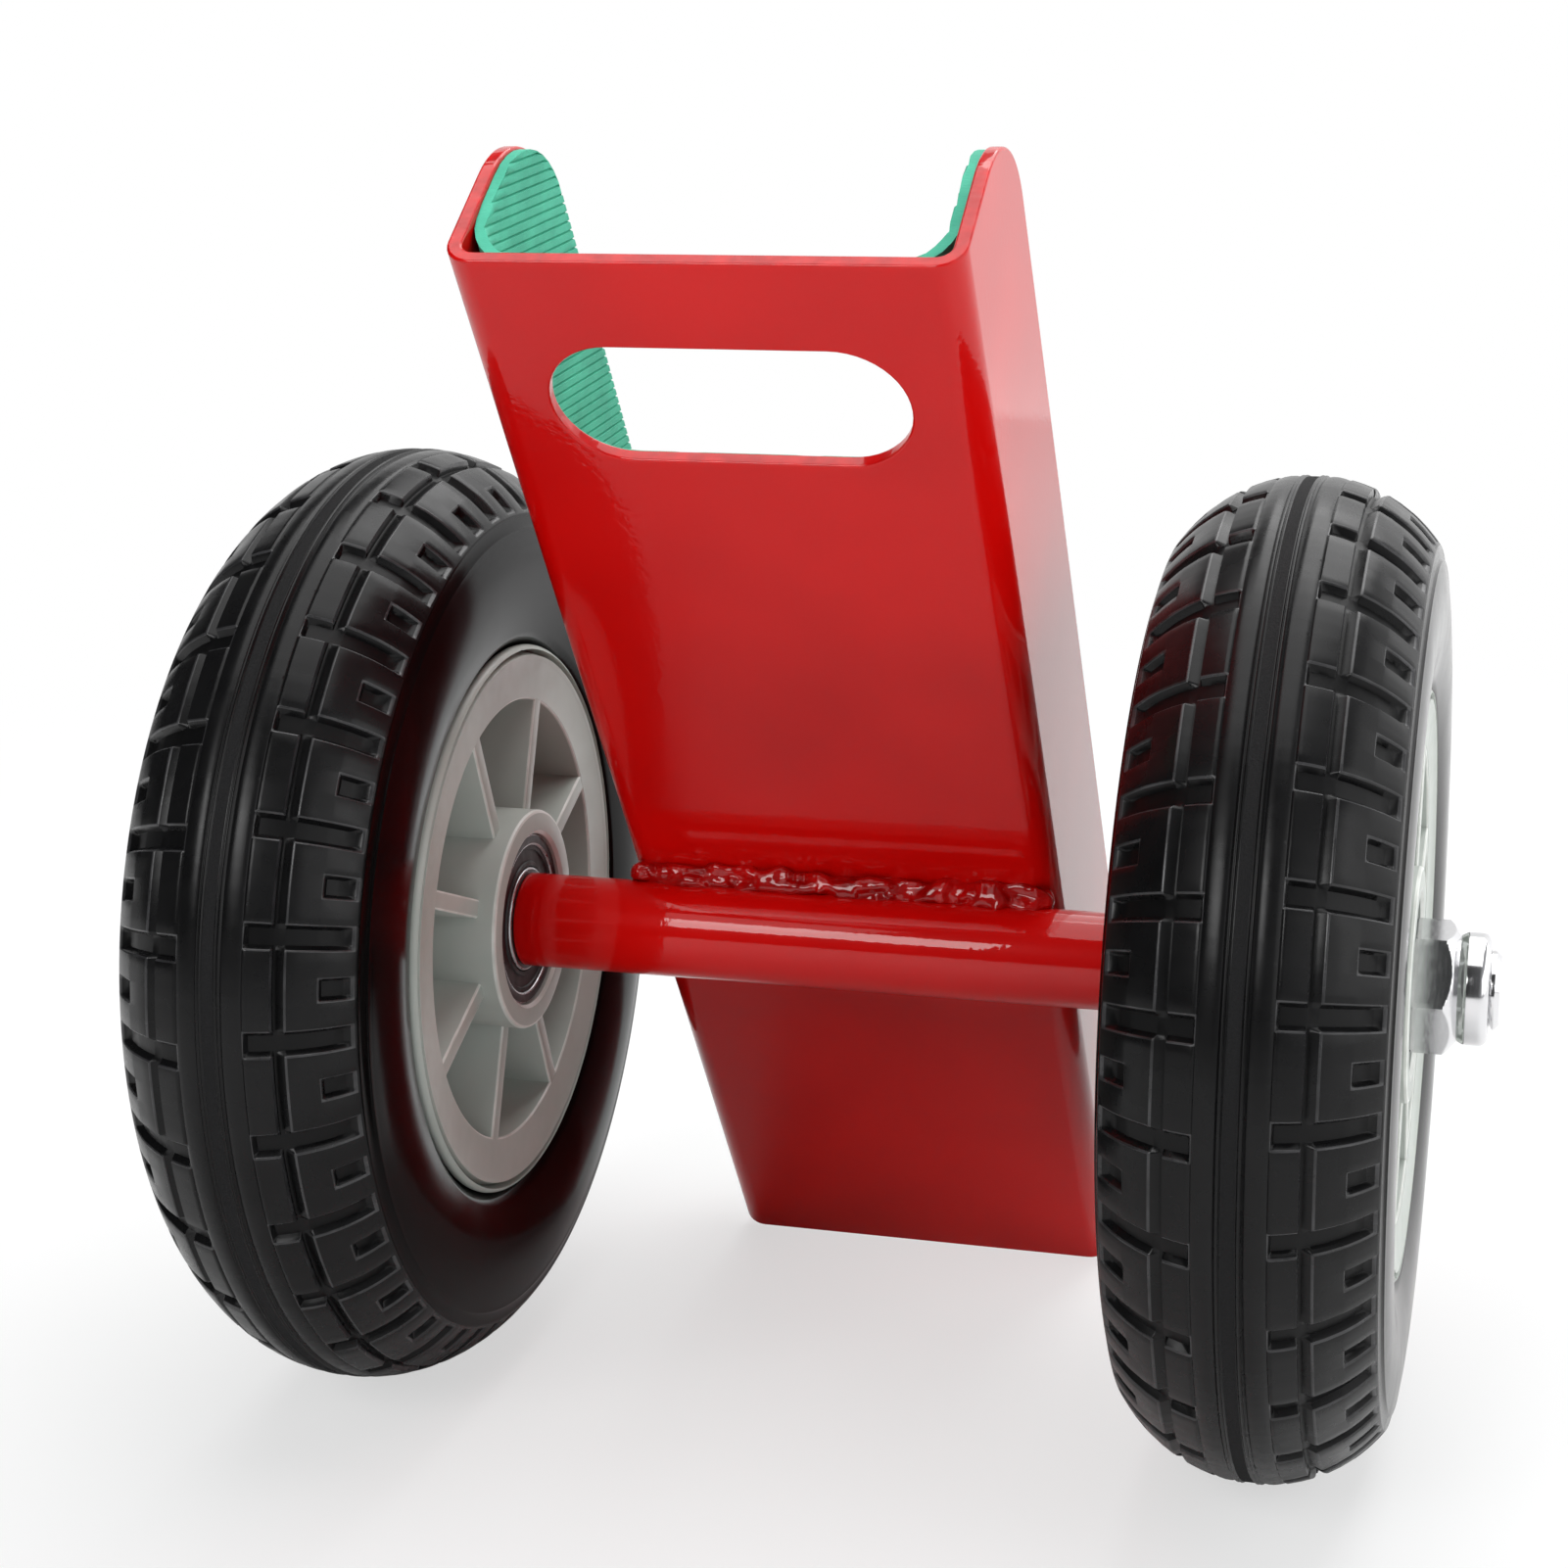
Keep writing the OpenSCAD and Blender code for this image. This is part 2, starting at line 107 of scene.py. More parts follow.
# Tyre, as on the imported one
CROWN_R = 38
SHOULDER = 31.5
WIDEST_DROP = 32
WIDEST_R = WHEEL_R - WIDEST_DROP
TREAD_PITCHES = 30
TREAD_TURN = 7
TREAD_STAGGER = 1
TREAD_DEPTH = 2
GROOVE_TOP = 6.4
GROOVE_FLOOR = 4
GROOVE_BEVEL = 1
NOTCH_TOP = 6
NOTCH_FLOOR = 4
NOTCH_START = 24.6
TREAD_END = 30.6
RIB_EDGE = 8.6
RING_GROOVE = (15, 15.5, 16.4, 18)
MORE_TREAD_ROWS = (12, 21, 27.6)
EDGE_SOFT = 0.26
CENTRE_LINES = ((0, -0.35), (1.5, -0.35), (1.68, -0.35), (1.95, 0), (2.2, -0.3), (2.55, -0.3), (2.8, 0),
                (3.05, -0.35), (3.35, -0.6), (3.7, -0.35), (4.6, -0.1), (5.8, 0), (7.2, -0.05), (8.2, -0.2),
                (8.45, -0.42), (8.7, -0.2), (9, 0))
BAND_EDGE = 1.5
FLOOR_SHARE = 0.97
EDGE_SHARE = 0.6
CREASE_R_DROP = 20.4
BAND_SINK = 0.35
CREASE_ROWS = ((0.9, -BAND_SINK), (0.45, 0.05), (0, 0.1), (-0.45, -0.05))
CREASE_END = 1.6
SEAT_DROP = 7
SEAT_R = RIM_R - SEAT_DROP
BEAD_ROUND = 4
BEAD_TURN = 3.2
BEAD_GAP = 0.4
BEAD_TUCK = 1
TREAD_SLOT, WALL_SLOT, BAND_SLOT, GROOVE_SLOT, EDGE_SLOT = range(5)

# Rim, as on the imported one
LIP_Z = 31.5
LIP_T = 4
LIP_FOOT_SINK = 0.25
LIP_FOOT_DROP = 2.9
RING_TOP = 70.6
RING_RISE = 30.75
RING_EDGE_W = 0.35
RING_EDGE_RISE = 0.2
POCKET_R = 60
POCKET_Z = 29.95
POCKET_STEP = 0.05
POCKET_OVERLAP = 1.5
POCKET_POINTS = 20
RIB_COUNT = 8
RIB_POINTS = 5
RIB_TURN = 26
RIB_HALF = 2.5
DISC_HALF = 2.5
HUB_R = 30
HUB_REACH = {INBOARD: 35, OUTBOARD: 31.5}
HUB_BORE_R = 20
HUB_CHAMFER = 0.9
BEARING_RECESS = 1.5
POCKET_BEVEL = 0.55
POCKET_BEVEL_BANDS = 2
BEVEL_ROUND_SHARE = 0.3
POCKET_DRAFT = 0.5
POCKET_FILLET = 1.8

# Bearings, nut, shaft and tube
FIT_GAP = 0.05
BORE_PLAY = 0.1
RING_COLUMNS = 96
INNER_RING_R = 14.2
OUTER_RING_R = 19.4
SEAL_RECESS = 0.5
SEAL_T = 1.2
SEAL_SEAT = 0.8
SEAL_PLAY = 0.3
SEAL_DISH = 0.4
SEAL_STEP_SHARE = 0.25
SEAL_FLAT_SHARE = 0.8
RING_ROUND = 0.6
RACE_ROUND = 0.2
NUT_FLATS = 30
NUT_HEX_H = 12
NUT_COLLAR_H = 7.5
NUT_COLLAR_R = 14.25
NUT_COLLAR_ROUND = 2.4
NUT_CONE_L = 3.2
NUT_NECK_R = 13.3
NUT_WAIST_L = 1.8
NUT_WAIST_ROWS = (0.05, 2.4)
NUT_FOOT_L = 1.5
NUT_MOUTH = ((0, 1.4), (1.1, 0.3), (2.2, 0))
NUT_TURN = 33
NUT_COLUMNS = 144
THREAD_PITCH = 2.5
THREAD_DEPTH = 1.1
THREAD_L = 12
THREAD_ROWS = 68
THREAD_END = 0.1
SHAFT_CHAMFER = 1.2
SHAFT_COLUMNS = 72
TUBE_ROUND = 0.5
TUBE_COLUMNS = 128

# Channel and liner, measured from the axle: height out of the web, then length up the channel
PLATE_T = 3.5
FLANGE_H = 59
BEND_R = 7
BEND_STEPS = 8
WEB_H = TUBE_R + FIT_GAP
UPPER_L = 219
LOWER_L = 169
CORNER_R = 28
SLOT_L = 84
SLOT_W = 33.5
SLOT_DROP = 41
EDGE_ROUND = 0.7
CUT_MARGIN = 5
FLAT_ANGLE = 0.5
SLOT_WALL_SHARE = 0.6
SHEARED_SHARE = 0.5
LINER_T = 2.6
LINER_BEND_R = 13
LINER_END_INSET = 1.2
LINER_EDGE_INSET = 0.4
LINER_SLOT_MARGIN = 2.8
LINER_FLOOR_TRIM = 2.4
RIDGE_PITCH = 2.65
RIDGE_H = 0.6
RIDGE_GROOVE_SHARE = 0.3
RIDGE_SLANT = 30
GLUE_GAP = 0.05

# Welds. A wave has a length along the bead, a rate of change round it, and an offset.
WELD_R = 5.5
WELD_H = 11.1
WELD_UP = 9.1
WELD_OVERRUN = 1.5
WELD_APART = 7
WELD_BROAD = (16, 0.7, 0)
WELD_PLATE = (7, 1.1, 5)
WELD_LUMP = (2.6, 2, 9)
WELD_PLATE_CRISP = 6
WELD_BODY_SHARE = 0.84
WELD_BROAD_SHARE = 0.22
WELD_PLATE_SHARE = 0.14
WELD_LUMP_SHARE = 0.07
WELD_TAPER = 24
WELD_TIP_SHARE = 0.02
CRACK_L = 9
CRACK_OFFSET = 11
CRACK_BIAS = 0.1
CRACK_TURN = 55
CRACK_SPREAD = 20
CRACK_SHARE = 0.8
DROP_COUNT = 26
DROP_TURNS = (60, 220)
DROP_SIZES = (0.9, 1.9)
DROP_SHARES = (0.1, 0.24)
DROP_SEED = 7
DEGREES_PER_RADIAN = 57.3


# Places
def around_axle(side, axial, radius, angle):
    """Points of a wheel: distance outboard of its middle plane, radius, and angle from straight down."""
    axial, radius, angle = np.broadcast_arrays(axial, radius, np.radians(angle))
    x = side * (WHEEL_X + axial)
    y = AXLE[1] + radius * np.sin(angle)
    z = AXLE[2] - radius * np.cos(angle)
    return np.stack([x, y, z], -1)


def on_channel(x, height, length):
    """Points given across the channel, out of its web and up its length, both from the axle."""
    x, height, length = np.broadcast_arrays(x, height, length)
    s, c = math.sin(math.radians(LEAN)), math.cos(math.radians(LEAN))
    y = AXLE[1] + height * c - length * s
    z = AXLE[2] + height * s + length * c
    return np.stack([x, y, z], -1)


# Meshes
class Shape:
    """Points in millimetres and faces, gathered before they become one mesh."""

    def __init__(self):
        self.points = []
        self.faces = []
        self.slots = []

    def add_points(self, points):
        start = len(self.points)
        self.points.extend(map(tuple, np.reshape(points, (-1, 3))))
        return start

    def grid(self, rows, closed=True, slots=None, ring=False):
        """Quads between rows. closed joins each row's ends, ring joins the last row to the first."""
        rows = np.asarray(rows)
        count, width = rows.shape[:2]
        start = self.add_points(rows)
        for i in range(count if ring else count - 1):
            below = start + i * width
            above = start + (i + 1) % count * width
            for j in range(width if closed else width - 1):
                k = (j + 1) % width
                self.faces.append((below + j, below + k, above + k, above + j))
                self.slots.append(int(slots[i][j]) if slots is not None else 0)

    def face(self, points):
        start = self.add_points(points)
        self.faces.append(tuple(range(start, start + len(points))))
        self.slots.append(0)


def new_object(name, data):
    made = bpy.data.objects.new(name, data)
    bpy.context.collection.objects.link(made)
    return made


def shape_mesh(name, shape, last_slot=0, solid=True):
    """One mesh of a shape in metres: doubled points merged, and the faces of a solid turned outward."""
    mesh = bpy.data.meshes.new(name)
    mesh.from_pydata([Vector(p) * MM for p in shape.points], [], shape.faces)
    mesh.polygons.foreach_set("material_index", [min(slot, last_slot) for slot in shape.slots])
    work = bmesh.new()
    work.from_mesh(mesh)
    bmesh.ops.remove_doubles(work, verts=work.verts, dist=MERGE * MM)
    bmesh.ops.dissolve_degenerate(work, edges=work.edges, dist=MERGE * MM)
    if solid:
        bmesh.ops.recalc_face_normals(work, faces=work.faces)
    work.to_mesh(mesh)
    work.free()
    return mesh


def shade_smooth(mesh, sharp):
    """Smooth shading that breaks at edges sharper than an angle."""
    mesh.polygons.foreach_set("use_smooth", [True] * len(mesh.polygons))
    mesh.set_sharp_from_angle(angle=math.radians(sharp))


def make_piece(name, shape, materials, body, sharp=35, solid=True):
    """One object from a shape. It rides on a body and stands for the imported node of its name."""
    mesh = shape_mesh(name, shape, len(materials) - 1, solid)
    for material in materials:
        mesh.materials.append(material)
    shade_smooth(mesh, sharp)
    piece = new_object(name, mesh)
    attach(piece, body)
    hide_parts(name)
    return piece


def even_light(piece):
    """Keeps large faces flat where they meet rounded edges."""
    weight = piece.modifiers.new("even_light", "WEIGHTED_NORMAL")
    weight.keep_sharp = True


def revolve(shape, side, profile, columns):
    """A closed profile of (axial, radius) turned round the axle; its slopes get the second material."""
    profile = np.array(profile, float)
    angles = np.linspace(0, 360, columns, endpoint=False)
    sloped = np.all(profile != np.roll(profile, -1, 0), axis=1)
    slots = np.repeat(sloped[:, None], columns, axis=1)
    shape.grid(around_axle(side, profile[:, :1], profile[:, 1:], angles[None, :]), slots=slots, ring=True)


def rounded_box(low, high, radius):
    """Profile of a ring's section with round corners, from its low and high (axial, radius) corners."""
    corners = ((low[0], low[1], 180), (high[0], low[1], 270), (high[0], high[1], 0), (low[0], high[1], 90))
    points = []
    for axial, r, start in corners:
        middle = np.clip(axial, low[0] + radius, high[0] - radius)
        middle_r = np.clip(r, low[1] + radius, high[1] - radius)
        for turn in np.radians(np.linspace(start, start + 90, 4)):
            points.append((middle + radius * math.cos(turn), middle_r + radius * math.sin(turn)))
    return points


# Materials
NOISE_SPREAD = (0.3, 0.7)


def new_material(name, colour, roughness, metallic=0.0, coat=0.0, coat_roughness=0.05, specular=0.5):
    material = bpy.data.materials.new(name)
    material.use_nodes = True
    shader = material.node_tree.nodes["Principled BSDF"]
    values = {"Base Color": (*colour, 1), "Roughness": roughness, "Metallic": metallic, "Coat Weight": coat,
              "Coat Roughness": coat_roughness, "Specular IOR Level": specular}
    for key, value in values.items():
        shader.inputs[key].default_value = value
    return material


def add_node(material, kind, **values):
    node = material.node_tree.nodes.new(kind)
    for key, value in values.items():
        if key in node.inputs:
            node.inputs[key].default_value = value
        else:
            setattr(node, key, value)
    return node


def set_range(node, source, target):
    """Sets what a range node maps from and to."""
    for key, value in zip(("From Min", "From Max", "To Min", "To Max"), (*source, *target)):
        node.inputs[key].default_value = value


def add_noise(material, per_metre, detail=2.0, stretch=(1, 1, 1), roughness=0.5):
    """Noise over the object's own coordinates, in waves per metre."""
    links = material.node_tree.links
    place = add_node(material, "ShaderNodeTexCoord")
    mapping = add_node(material, "ShaderNodeMapping")
    mapping.inputs["Scale"].default_value = stretch
    grain = add_node(material, "ShaderNodeTexNoise", Scale=per_metre, Detail=detail, Roughness=roughness)
    links.new(place.outputs["Object"], mapping.inputs["Vector"])
    links.new(mapping.outputs["Vector"], grain.inputs["Vector"])
    return grain


def add_bump(material, grain, strength, distance, socket="Normal"):
    """Bump of a given depth in millimetres, on top of any bump that is there already."""
    tree = material.node_tree
    shader = tree.nodes["Principled BSDF"]
    bump = add_node(material, "ShaderNodeBump", Strength=strength, Distance=distance * MM)
    tree.links.new(grain.outputs[0], bump.inputs["Height"])
    if shader.inputs[socket].is_linked:
        tree.links.new(shader.inputs[socket].links[0].from_socket, bump.inputs["Normal"])
    tree.links.new(bump.outputs["Normal"], shader.inputs[socket])


def add_paint_bump(material, grain, strength, distance):
    """The same bump on the paint and on its clear coat."""
    for socket in ("Normal", "Coat Normal"):
        add_bump(material, grain, strength, distance, socket)


def vary_colour(material, grain, dark, light, low=0.35, high=0.65):
    tree = material.node_tree
    ramp = add_node(material, "ShaderNodeValToRGB")
    ramp.color_ramp.elements[0].position = low
    ramp.color_ramp.elements[0].color = (*dark, 1)
    ramp.color_ramp.elements[1].position = high
    ramp.color_ramp.elements[1].color = (*light, 1)
    tree.links.new(grain.outputs[0], ramp.inputs["Fac"])
    tree.links.new(ramp.outputs["Color"], tree.nodes["Principled BSDF"].inputs["Base Color"])


def vary_roughness(material, grain, low, high):
    tree = material.node_tree
    spread = add_node(material, "ShaderNodeMapRange")
    set_range(spread, NOISE_SPREAD, (low, high))
    tree.links.new(grain.outputs[0], spread.inputs["Value"])
    tree.links.new(spread.outputs["Result"], tree.nodes["Principled BSDF"].inputs["Roughness"])


def red_enamel():
    material = new_material("red_enamel", (0.55, 0.001, 0.0006), 0.35,
                            coat=0.64, coat_roughness=0.03, specular=0.05)
    vary_colour(material, add_noise(material, 14), (0.49, 0.0005, 0.0003), (0.6, 0.0018, 0.001))
    orange_peel = add_noise(material, 600, detail=1)
    add_paint_bump(material, orange_peel, 0.18, 0.12)
    return material


def edge_enamel():
    """Paint over the sheared edges of the plate, in small pools."""
    material = new_material("edge_enamel", (0.5, 0.002, 0.002), 0.3,
                            coat=0.6, coat_roughness=0.04, specular=0.1)
    vary_colour(material, add_noise(material, 200), (0.42, 0.001, 0.001), (0.56, 0.003, 0.003))
    pools = add_noise(material, 330, detail=1)
    add_paint_bump(material, pools, 0.5, 0.3)
    return material


def weld_shaded_enamel():
    # Darker than the plate's paint: painted shade in the corner between the tube and the web.
    material = new_material("weld_shaded_enamel", (0.3, 0.001, 0.001), 0.3,
                            coat=0.7, coat_roughness=0.02, specular=0.05)
    vary_colour(material, add_noise(material, 160), (0.24, 0.0006, 0.0006), (0.42, 0.0015, 0.0015))
    spatter = add_noise(material, 260, detail=1)
    add_paint_bump(material, spatter, 0.25, 0.3)
    return material


def tread_rubber():
    material = new_material("tread_rubber", (0.004, 0.004, 0.0043), 0.25, specular=0.19)
    vary_colour(material, add_noise(material, 55, detail=4), (0.003, 0.003, 0.0032), (0.005, 0.005, 0.0053))
    vary_roughness(material, add_noise(material, 120, detail=3), 0.24, 0.32)
    add_bump(material, add_noise(material, 900, detail=3), 0.12, 0.06)
    return material


def sidewall_rubber():
    material = new_material("sidewall_rubber", (0.003, 0.0026, 0.0026), 0.16, specular=0.075)
    vary_roughness(material, add_noise(material, 60, detail=3), 0.13, 0.19)
    add_bump(material, add_noise(material, 500), 0.08, 0.05)
    return material


def band_rubber():
    material = new_material("band_rubber", (0.008, 0.008, 0.0085), 0.8, specular=0.2)
    add_bump(material, add_noise(material, 1300, detail=4, roughness=0.7), 0.9, 0.4)
    return material


def groove_shade_rubber():
    # Darker and duller than the tread: painted shade on the floors of the grooves.
    material = new_material("groove_shade_rubber", (0.003, 0.003, 0.0032), 0.36, specular=0.16)
    vary_roughness(material, add_noise(material, 120, detail=3), 0.32, 0.4)
    add_bump(material, add_noise(material, 900, detail=3), 0.2, 0.1)
    return material


def edge_highlight_rubber():
    """Rubber along the edges of the tread's blocks, painted paler grey as a highlight where the rounded
    edges catch light.
    """
    material = new_material("edge_highlight_rubber", (0.022, 0.022, 0.023), 0.3, specular=0.4)
    vary_colour(material, add_noise(material, 140, detail=4), (0.012, 0.012, 0.0126), (0.034, 0.034, 0.036))
    vary_roughness(material, add_noise(material, 120, detail=3), 0.24, 0.36)
    return material


def rim_plastic():
    material = new_material("rim_plastic", (0.42, 0.455, 0.42), 0.38, specular=0.4)
    vary_colour(material, add_noise(material, 30, detail=3), (0.395, 0.43, 0.395), (0.445, 0.48, 0.445))
    vary_roughness(material, add_noise(material, 200, detail=3), 0.34, 0.46)
    add_bump(material, add_noise(material, 1500), 0.1, 0.05)
    return material


def rim_edge_highlight_plastic():
    """The rim's plastic along its edges, painted pale as a highlight."""
    material = new_material("rim_edge_highlight_plastic", (0.68, 0.7, 0.66), 0.32, specular=0.5)
    vary_colour(material, add_noise(material, 120, detail=3), (0.6, 0.62, 0.58), (0.74, 0.76, 0.72))
    vary_roughness(material, add_noise(material, 200, detail=3), 0.28, 0.38)
    return material


def bright_zinc():
    material = new_material("bright_zinc", (0.7, 0.7, 0.71), 0.14, metallic=1.0)
    vary_roughness(material, add_noise(material, 300, detail=3, stretch=(4, 1, 1)), 0.1, 0.16)
    add_bump(material, add_noise(material, 250), 0.02, 0.05)
    return material


def bearing_steel():
    material = new_material("bearing_steel", (0.5, 0.5, 0.51), 0.3, metallic=1.0)
    vary_roughness(material, add_noise(material, 500, detail=3, stretch=(6, 1, 1)), 0.22, 0.4)
    add_bump(material, add_noise(material, 1200, stretch=(6, 1, 1)), 0.08, 0.04)
    return material


def dark_steel():
    # Dark steel for the bearing rings.
    material = new_material("dark_steel", (0.02, 0.02, 0.021), 0.34, metallic=0.3)
    vary_roughness(material, add_noise(material, 500, detail=3, stretch=(6, 1, 1)), 0.28, 0.42)
    add_bump(material, add_noise(material, 1200, stretch=(6, 1, 1)), 0.08, 0.04)
    return material


def seal_rubber():
    material = new_material("seal_rubber", (0.01, 0.01, 0.011), 0.45, specular=0.4)
    vary_roughness(material, add_noise(material, 250, detail=3), 0.38, 0.55)
    add_bump(material, add_noise(material, 1500), 0.1, 0.05)
    return material


def nylon():
    material = new_material("nylon", (0.8, 0.79, 0.72), 0.45)
    vary_roughness(material, add_noise(material, 250, detail=3), 0.38, 0.52)
    add_bump(material, add_noise(material, 1500), 0.1, 0.05)
    return material


def green_liner():
    material = new_material("green_liner", (0.06, 0.43, 0.285), 0.62, specular=0.25)
    vary_colour(material, add_noise(material, 90, detail=4), (0.05, 0.37, 0.245), (0.07, 0.47, 0.315))
    add_bump(material, add_noise(material, 2200, stretch=(0.3, 1, 1)), 0.5, 0.25)
    return material


RED = red_enamel()
EDGE_RED = edge_enamel()
WELD_SHADED_RED = weld_shaded_enamel()
TREAD = tread_rubber()
SIDEWALL = sidewall_rubber()
BAND = band_rubber()
GROOVE_SHADE = groove_shade_rubber()
EDGE_HIGHLIGHT = edge_highlight_rubber()
RIM_GREY = rim_plastic()
RIM_EDGE_HIGHLIGHT = rim_edge_highlight_plastic()
ZINC = bright_zinc()
STEEL = bearing_steel()
DARK_STEEL = dark_steel()
SEAL = seal_rubber()
NYLON = nylon()
GREEN = green_liner()


# Tyres
def bevel_share(offset, top, floor):
    """0 outside a groove's top edge, 1 on its floor, and an even slope between."""
    return np.clip((top - np.abs(offset)) / (top - floor), 0, 1)


def tread_phase(angles, turn):
    """Distance round the tread from the middle of the nearest groove."""
    pitch = 360 / TREAD_PITCHES
    return np.radians((angles - turn + pitch / 2) % pitch - pitch / 2) * (WHEEL_R - TREAD_DEPTH)


def groove_turn(side, end):
    return TREAD_TURN - side * end * TREAD_STAGGER


def tread_columns(side):
    """Angles of the mesh's columns: the edges of all grooves and notches of both sides."""
    pitch = 360 / TREAD_PITCHES
    degrees_per_mm = math.degrees(1 / (WHEEL_R - TREAD_DEPTH))
    edges = []
    for end in ENDS.values():
        for middle, top, floor in ((0, GROOVE_TOP, GROOVE_FLOOR), (pitch / 2, NOTCH_TOP, NOTCH_FLOOR)):
            for reach in (top / 2 + EDGE_SOFT, top / 2 - EDGE_SOFT, floor / 2):
                for sign in (-1, 1):
                    edges.append((groove_turn(side, end) + middle + sign * reach * degrees_per_mm) % pitch)
    edges = sorted(edges)
    least = EDGE_SOFT * degrees_per_mm / 2
    apart = [b for a, b in zip([edges[-1] - pitch] + edges, edges) if b - a > least]
    return np.concatenate([np.array(apart) + step * pitch for step in range(TREAD_PITCHES)])


def tread_cut(axial, angles, turn):
    """Depth of the tread's grooves and notches on one side, as a share of the full depth."""
    round_it = tread_phase(angles, turn)[None, :]
    notch_round = tread_phase(angles, turn + 180 / TREAD_PITCHES)[None, :]
    axial = np.asarray(axial)[:, None]
    outer_end = np.clip((TREAD_END - axial) / GROOVE_BEVEL, 0, 1)
    groove = np.minimum(bevel_share(round_it, GROOVE_TOP / 2, GROOVE_FLOOR / 2), outer_end)
    groove = np.minimum(groove, np.clip((axial - RIB_EDGE) / GROOVE_BEVEL, 0, 1))
    notch = np.minimum(bevel_share(notch_round, NOTCH_TOP / 2, NOTCH_FLOOR / 2), outer_end)
    notch = np.minimum(notch, np.clip((axial - NOTCH_START) / GROOVE_BEVEL, 0, 1))
    ring = np.interp(axial, RING_GROOVE, (0, 1, 1, 0))
    return np.maximum(np.maximum(groove, notch), ring)


def soft_edges(*places):
    """A row of points close to each side of every edge."""
    return [place + sign * EDGE_SOFT for place in places for sign in (-1, 1)]


def tread_rows():
    """Axial places of the rows from the middle of the tread to its shoulder."""
    inner, floor_in, floor_out, outer = RING_GROOVE
    rows = [line[0] for line in CENTRE_LINES]
    rows += [RIB_EDGE + GROOVE_BEVEL, floor_in, floor_out, NOTCH_START + GROOVE_BEVEL]
    rows += [TREAD_END - GROOVE_BEVEL, SHOULDER - EDGE_SOFT, *MORE_TREAD_ROWS]
    return sorted(rows + soft_edges(inner, outer, NOTCH_START, TREAD_END))


def sidewall_rows():
    """(axial, radius) from just below the shoulder edge to the seat on the rim."""
    shoulder_r = WHEEL_R - CROWN_R + math.sqrt(CROWN_R**2 - SHOULDER**2)
    bulge = TYRE_HALF - SHOULDER
    rise = shoulder_r - WIDEST_R
    arc_r = (bulge**2 + rise**2) / (2 * bulge)
    crease_r = WHEEL_R - CREASE_R_DROP
    turn_r = RIM_R + BEAD_GAP + BEAD_TURN
    rows = []

    def on_arc(radius, out=0.0):
        inward = 0
        if radius < turn_r:
            inward = BEAD_ROUND - math.sqrt(BEAD_ROUND**2 - (turn_r - radius)**2)
        axial = TYRE_HALF - arc_r + math.sqrt(arc_r**2 - (radius - WIDEST_R)**2) - inward + out
        rows.append((axial, radius))

    on_arc(shoulder_r - EDGE_SOFT, -EDGE_SOFT / 2)
    on_arc(shoulder_r - 3 * EDGE_SOFT, -BAND_SINK)
    for above, out in CREASE_ROWS:
        on_arc(crease_r + above, out)
    for radius in np.linspace(crease_r - CREASE_END, turn_r, 10):
        on_arc(radius)
    for radius in np.linspace(turn_r, RIM_R + BEAD_GAP, 7)[1:]:
        on_arc(radius)
    foot = LIP_Z - LIP_T - BEAD_GAP
    return rows + [(foot, RIM_R - BEAD_TUCK), (foot, SEAT_R + BEAD_GAP)]


def tyre_half(side, end, angles):
    """Points of half a tyre, from the middle of its tread to its seat, and the material of each face."""
    axial = np.array(tread_rows())
    lines = np.array(CENTRE_LINES)
    cut = tread_cut(axial, angles, groove_turn(side, end))
    from_centre = CROWN_R - cut * TREAD_DEPTH + np.interp(axial, lines[:, 0], lines[:, 1])[:, None]
    slope = np.arcsin(axial / CROWN_R)[:, None]
    crown = around_axle(side, end * from_centre * np.sin(slope),
                        WHEEL_R - CROWN_R + from_centre * np.cos(slope), angles[None, :])
    wall = np.array(sidewall_rows())
    wall_points = around_axle(side, end * wall[:, :1], wall[:, 1:], angles[None, :])
    least = np.minimum(cut[:-1], cut[1:])
    least = np.minimum(least, np.roll(least, -1, 1))
    most = np.maximum(cut[:-1], cut[1:])
    most = np.maximum(most, np.roll(most, -1, 1))
    # Faces along the top edges of the grooves get the paler rubber, a painted highlight.
    edges = (least == 0) & (most > 0) & (most < EDGE_SHARE)
    tread_slots = np.where(axial[:-1, None] < BAND_EDGE, BAND_SLOT, TREAD_SLOT)
    tread_slots = np.where(edges, EDGE_SLOT, tread_slots)
    # The floors of the grooves get the darker rubber, painted shade.
    tread_slots = np.where(least > FLOOR_SHARE, GROOVE_SLOT, tread_slots)
    wall_slots = np.full((len(wall), len(angles)), WALL_SLOT)
    return np.concatenate([crown, wall_points]), np.concatenate([tread_slots, wall_slots])


def tyre(prefix, side):
    angles = tread_columns(side)
    inner_points, inner_slots = tyre_half(side, INBOARD, angles)
    outer_points, outer_slots = tyre_half(side, OUTBOARD, angles)
    points = np.concatenate([inner_points[::-1], outer_points[1:]])
    slots = np.concatenate([inner_slots[::-1], outer_slots, np.full((1, len(angles)), WALL_SLOT)])
    shape = Shape()
    shape.grid(points, slots=slots, ring=True)
    materials = [TREAD, SIDEWALL, BAND, GROOVE_SHADE, EDGE_HIGHLIGHT]
    even_light(make_piece(prefix + "_tyre", shape, materials, prefix + "_wheel", sharp=50))


for prefix, side in SIDES.items():
    tyre(prefix, side)


# Rims
def lip_rows():
    """(axial, radius) from the seat of the tyre over the lip to the inner edge of the ring face."""
    rows = [(DISC_HALF, SEAT_R), (LIP_Z - LIP_T, SEAT_R), (LIP_Z - LIP_T, RIM_R - LIP_T / 2)]
    half = LIP_T / 2
    for turn in np.radians(np.linspace(180, 0, 9)[1:]):
        rows.append((LIP_Z - half - half * math.cos(turn), RIM_R - half + half * math.sin(turn)))
    rows.append((LIP_Z - LIP_FOOT_SINK, RIM_R - LIP_FOOT_DROP))
    rows += [(RING_RISE + RING_EDGE_RISE, RING_TOP + RING_EDGE_W), (RING_RISE, RING_TOP)]
    rows.append((POCKET_Z + POCKET_STEP, POCKET_R + POCKET_BEVEL))
    return rows


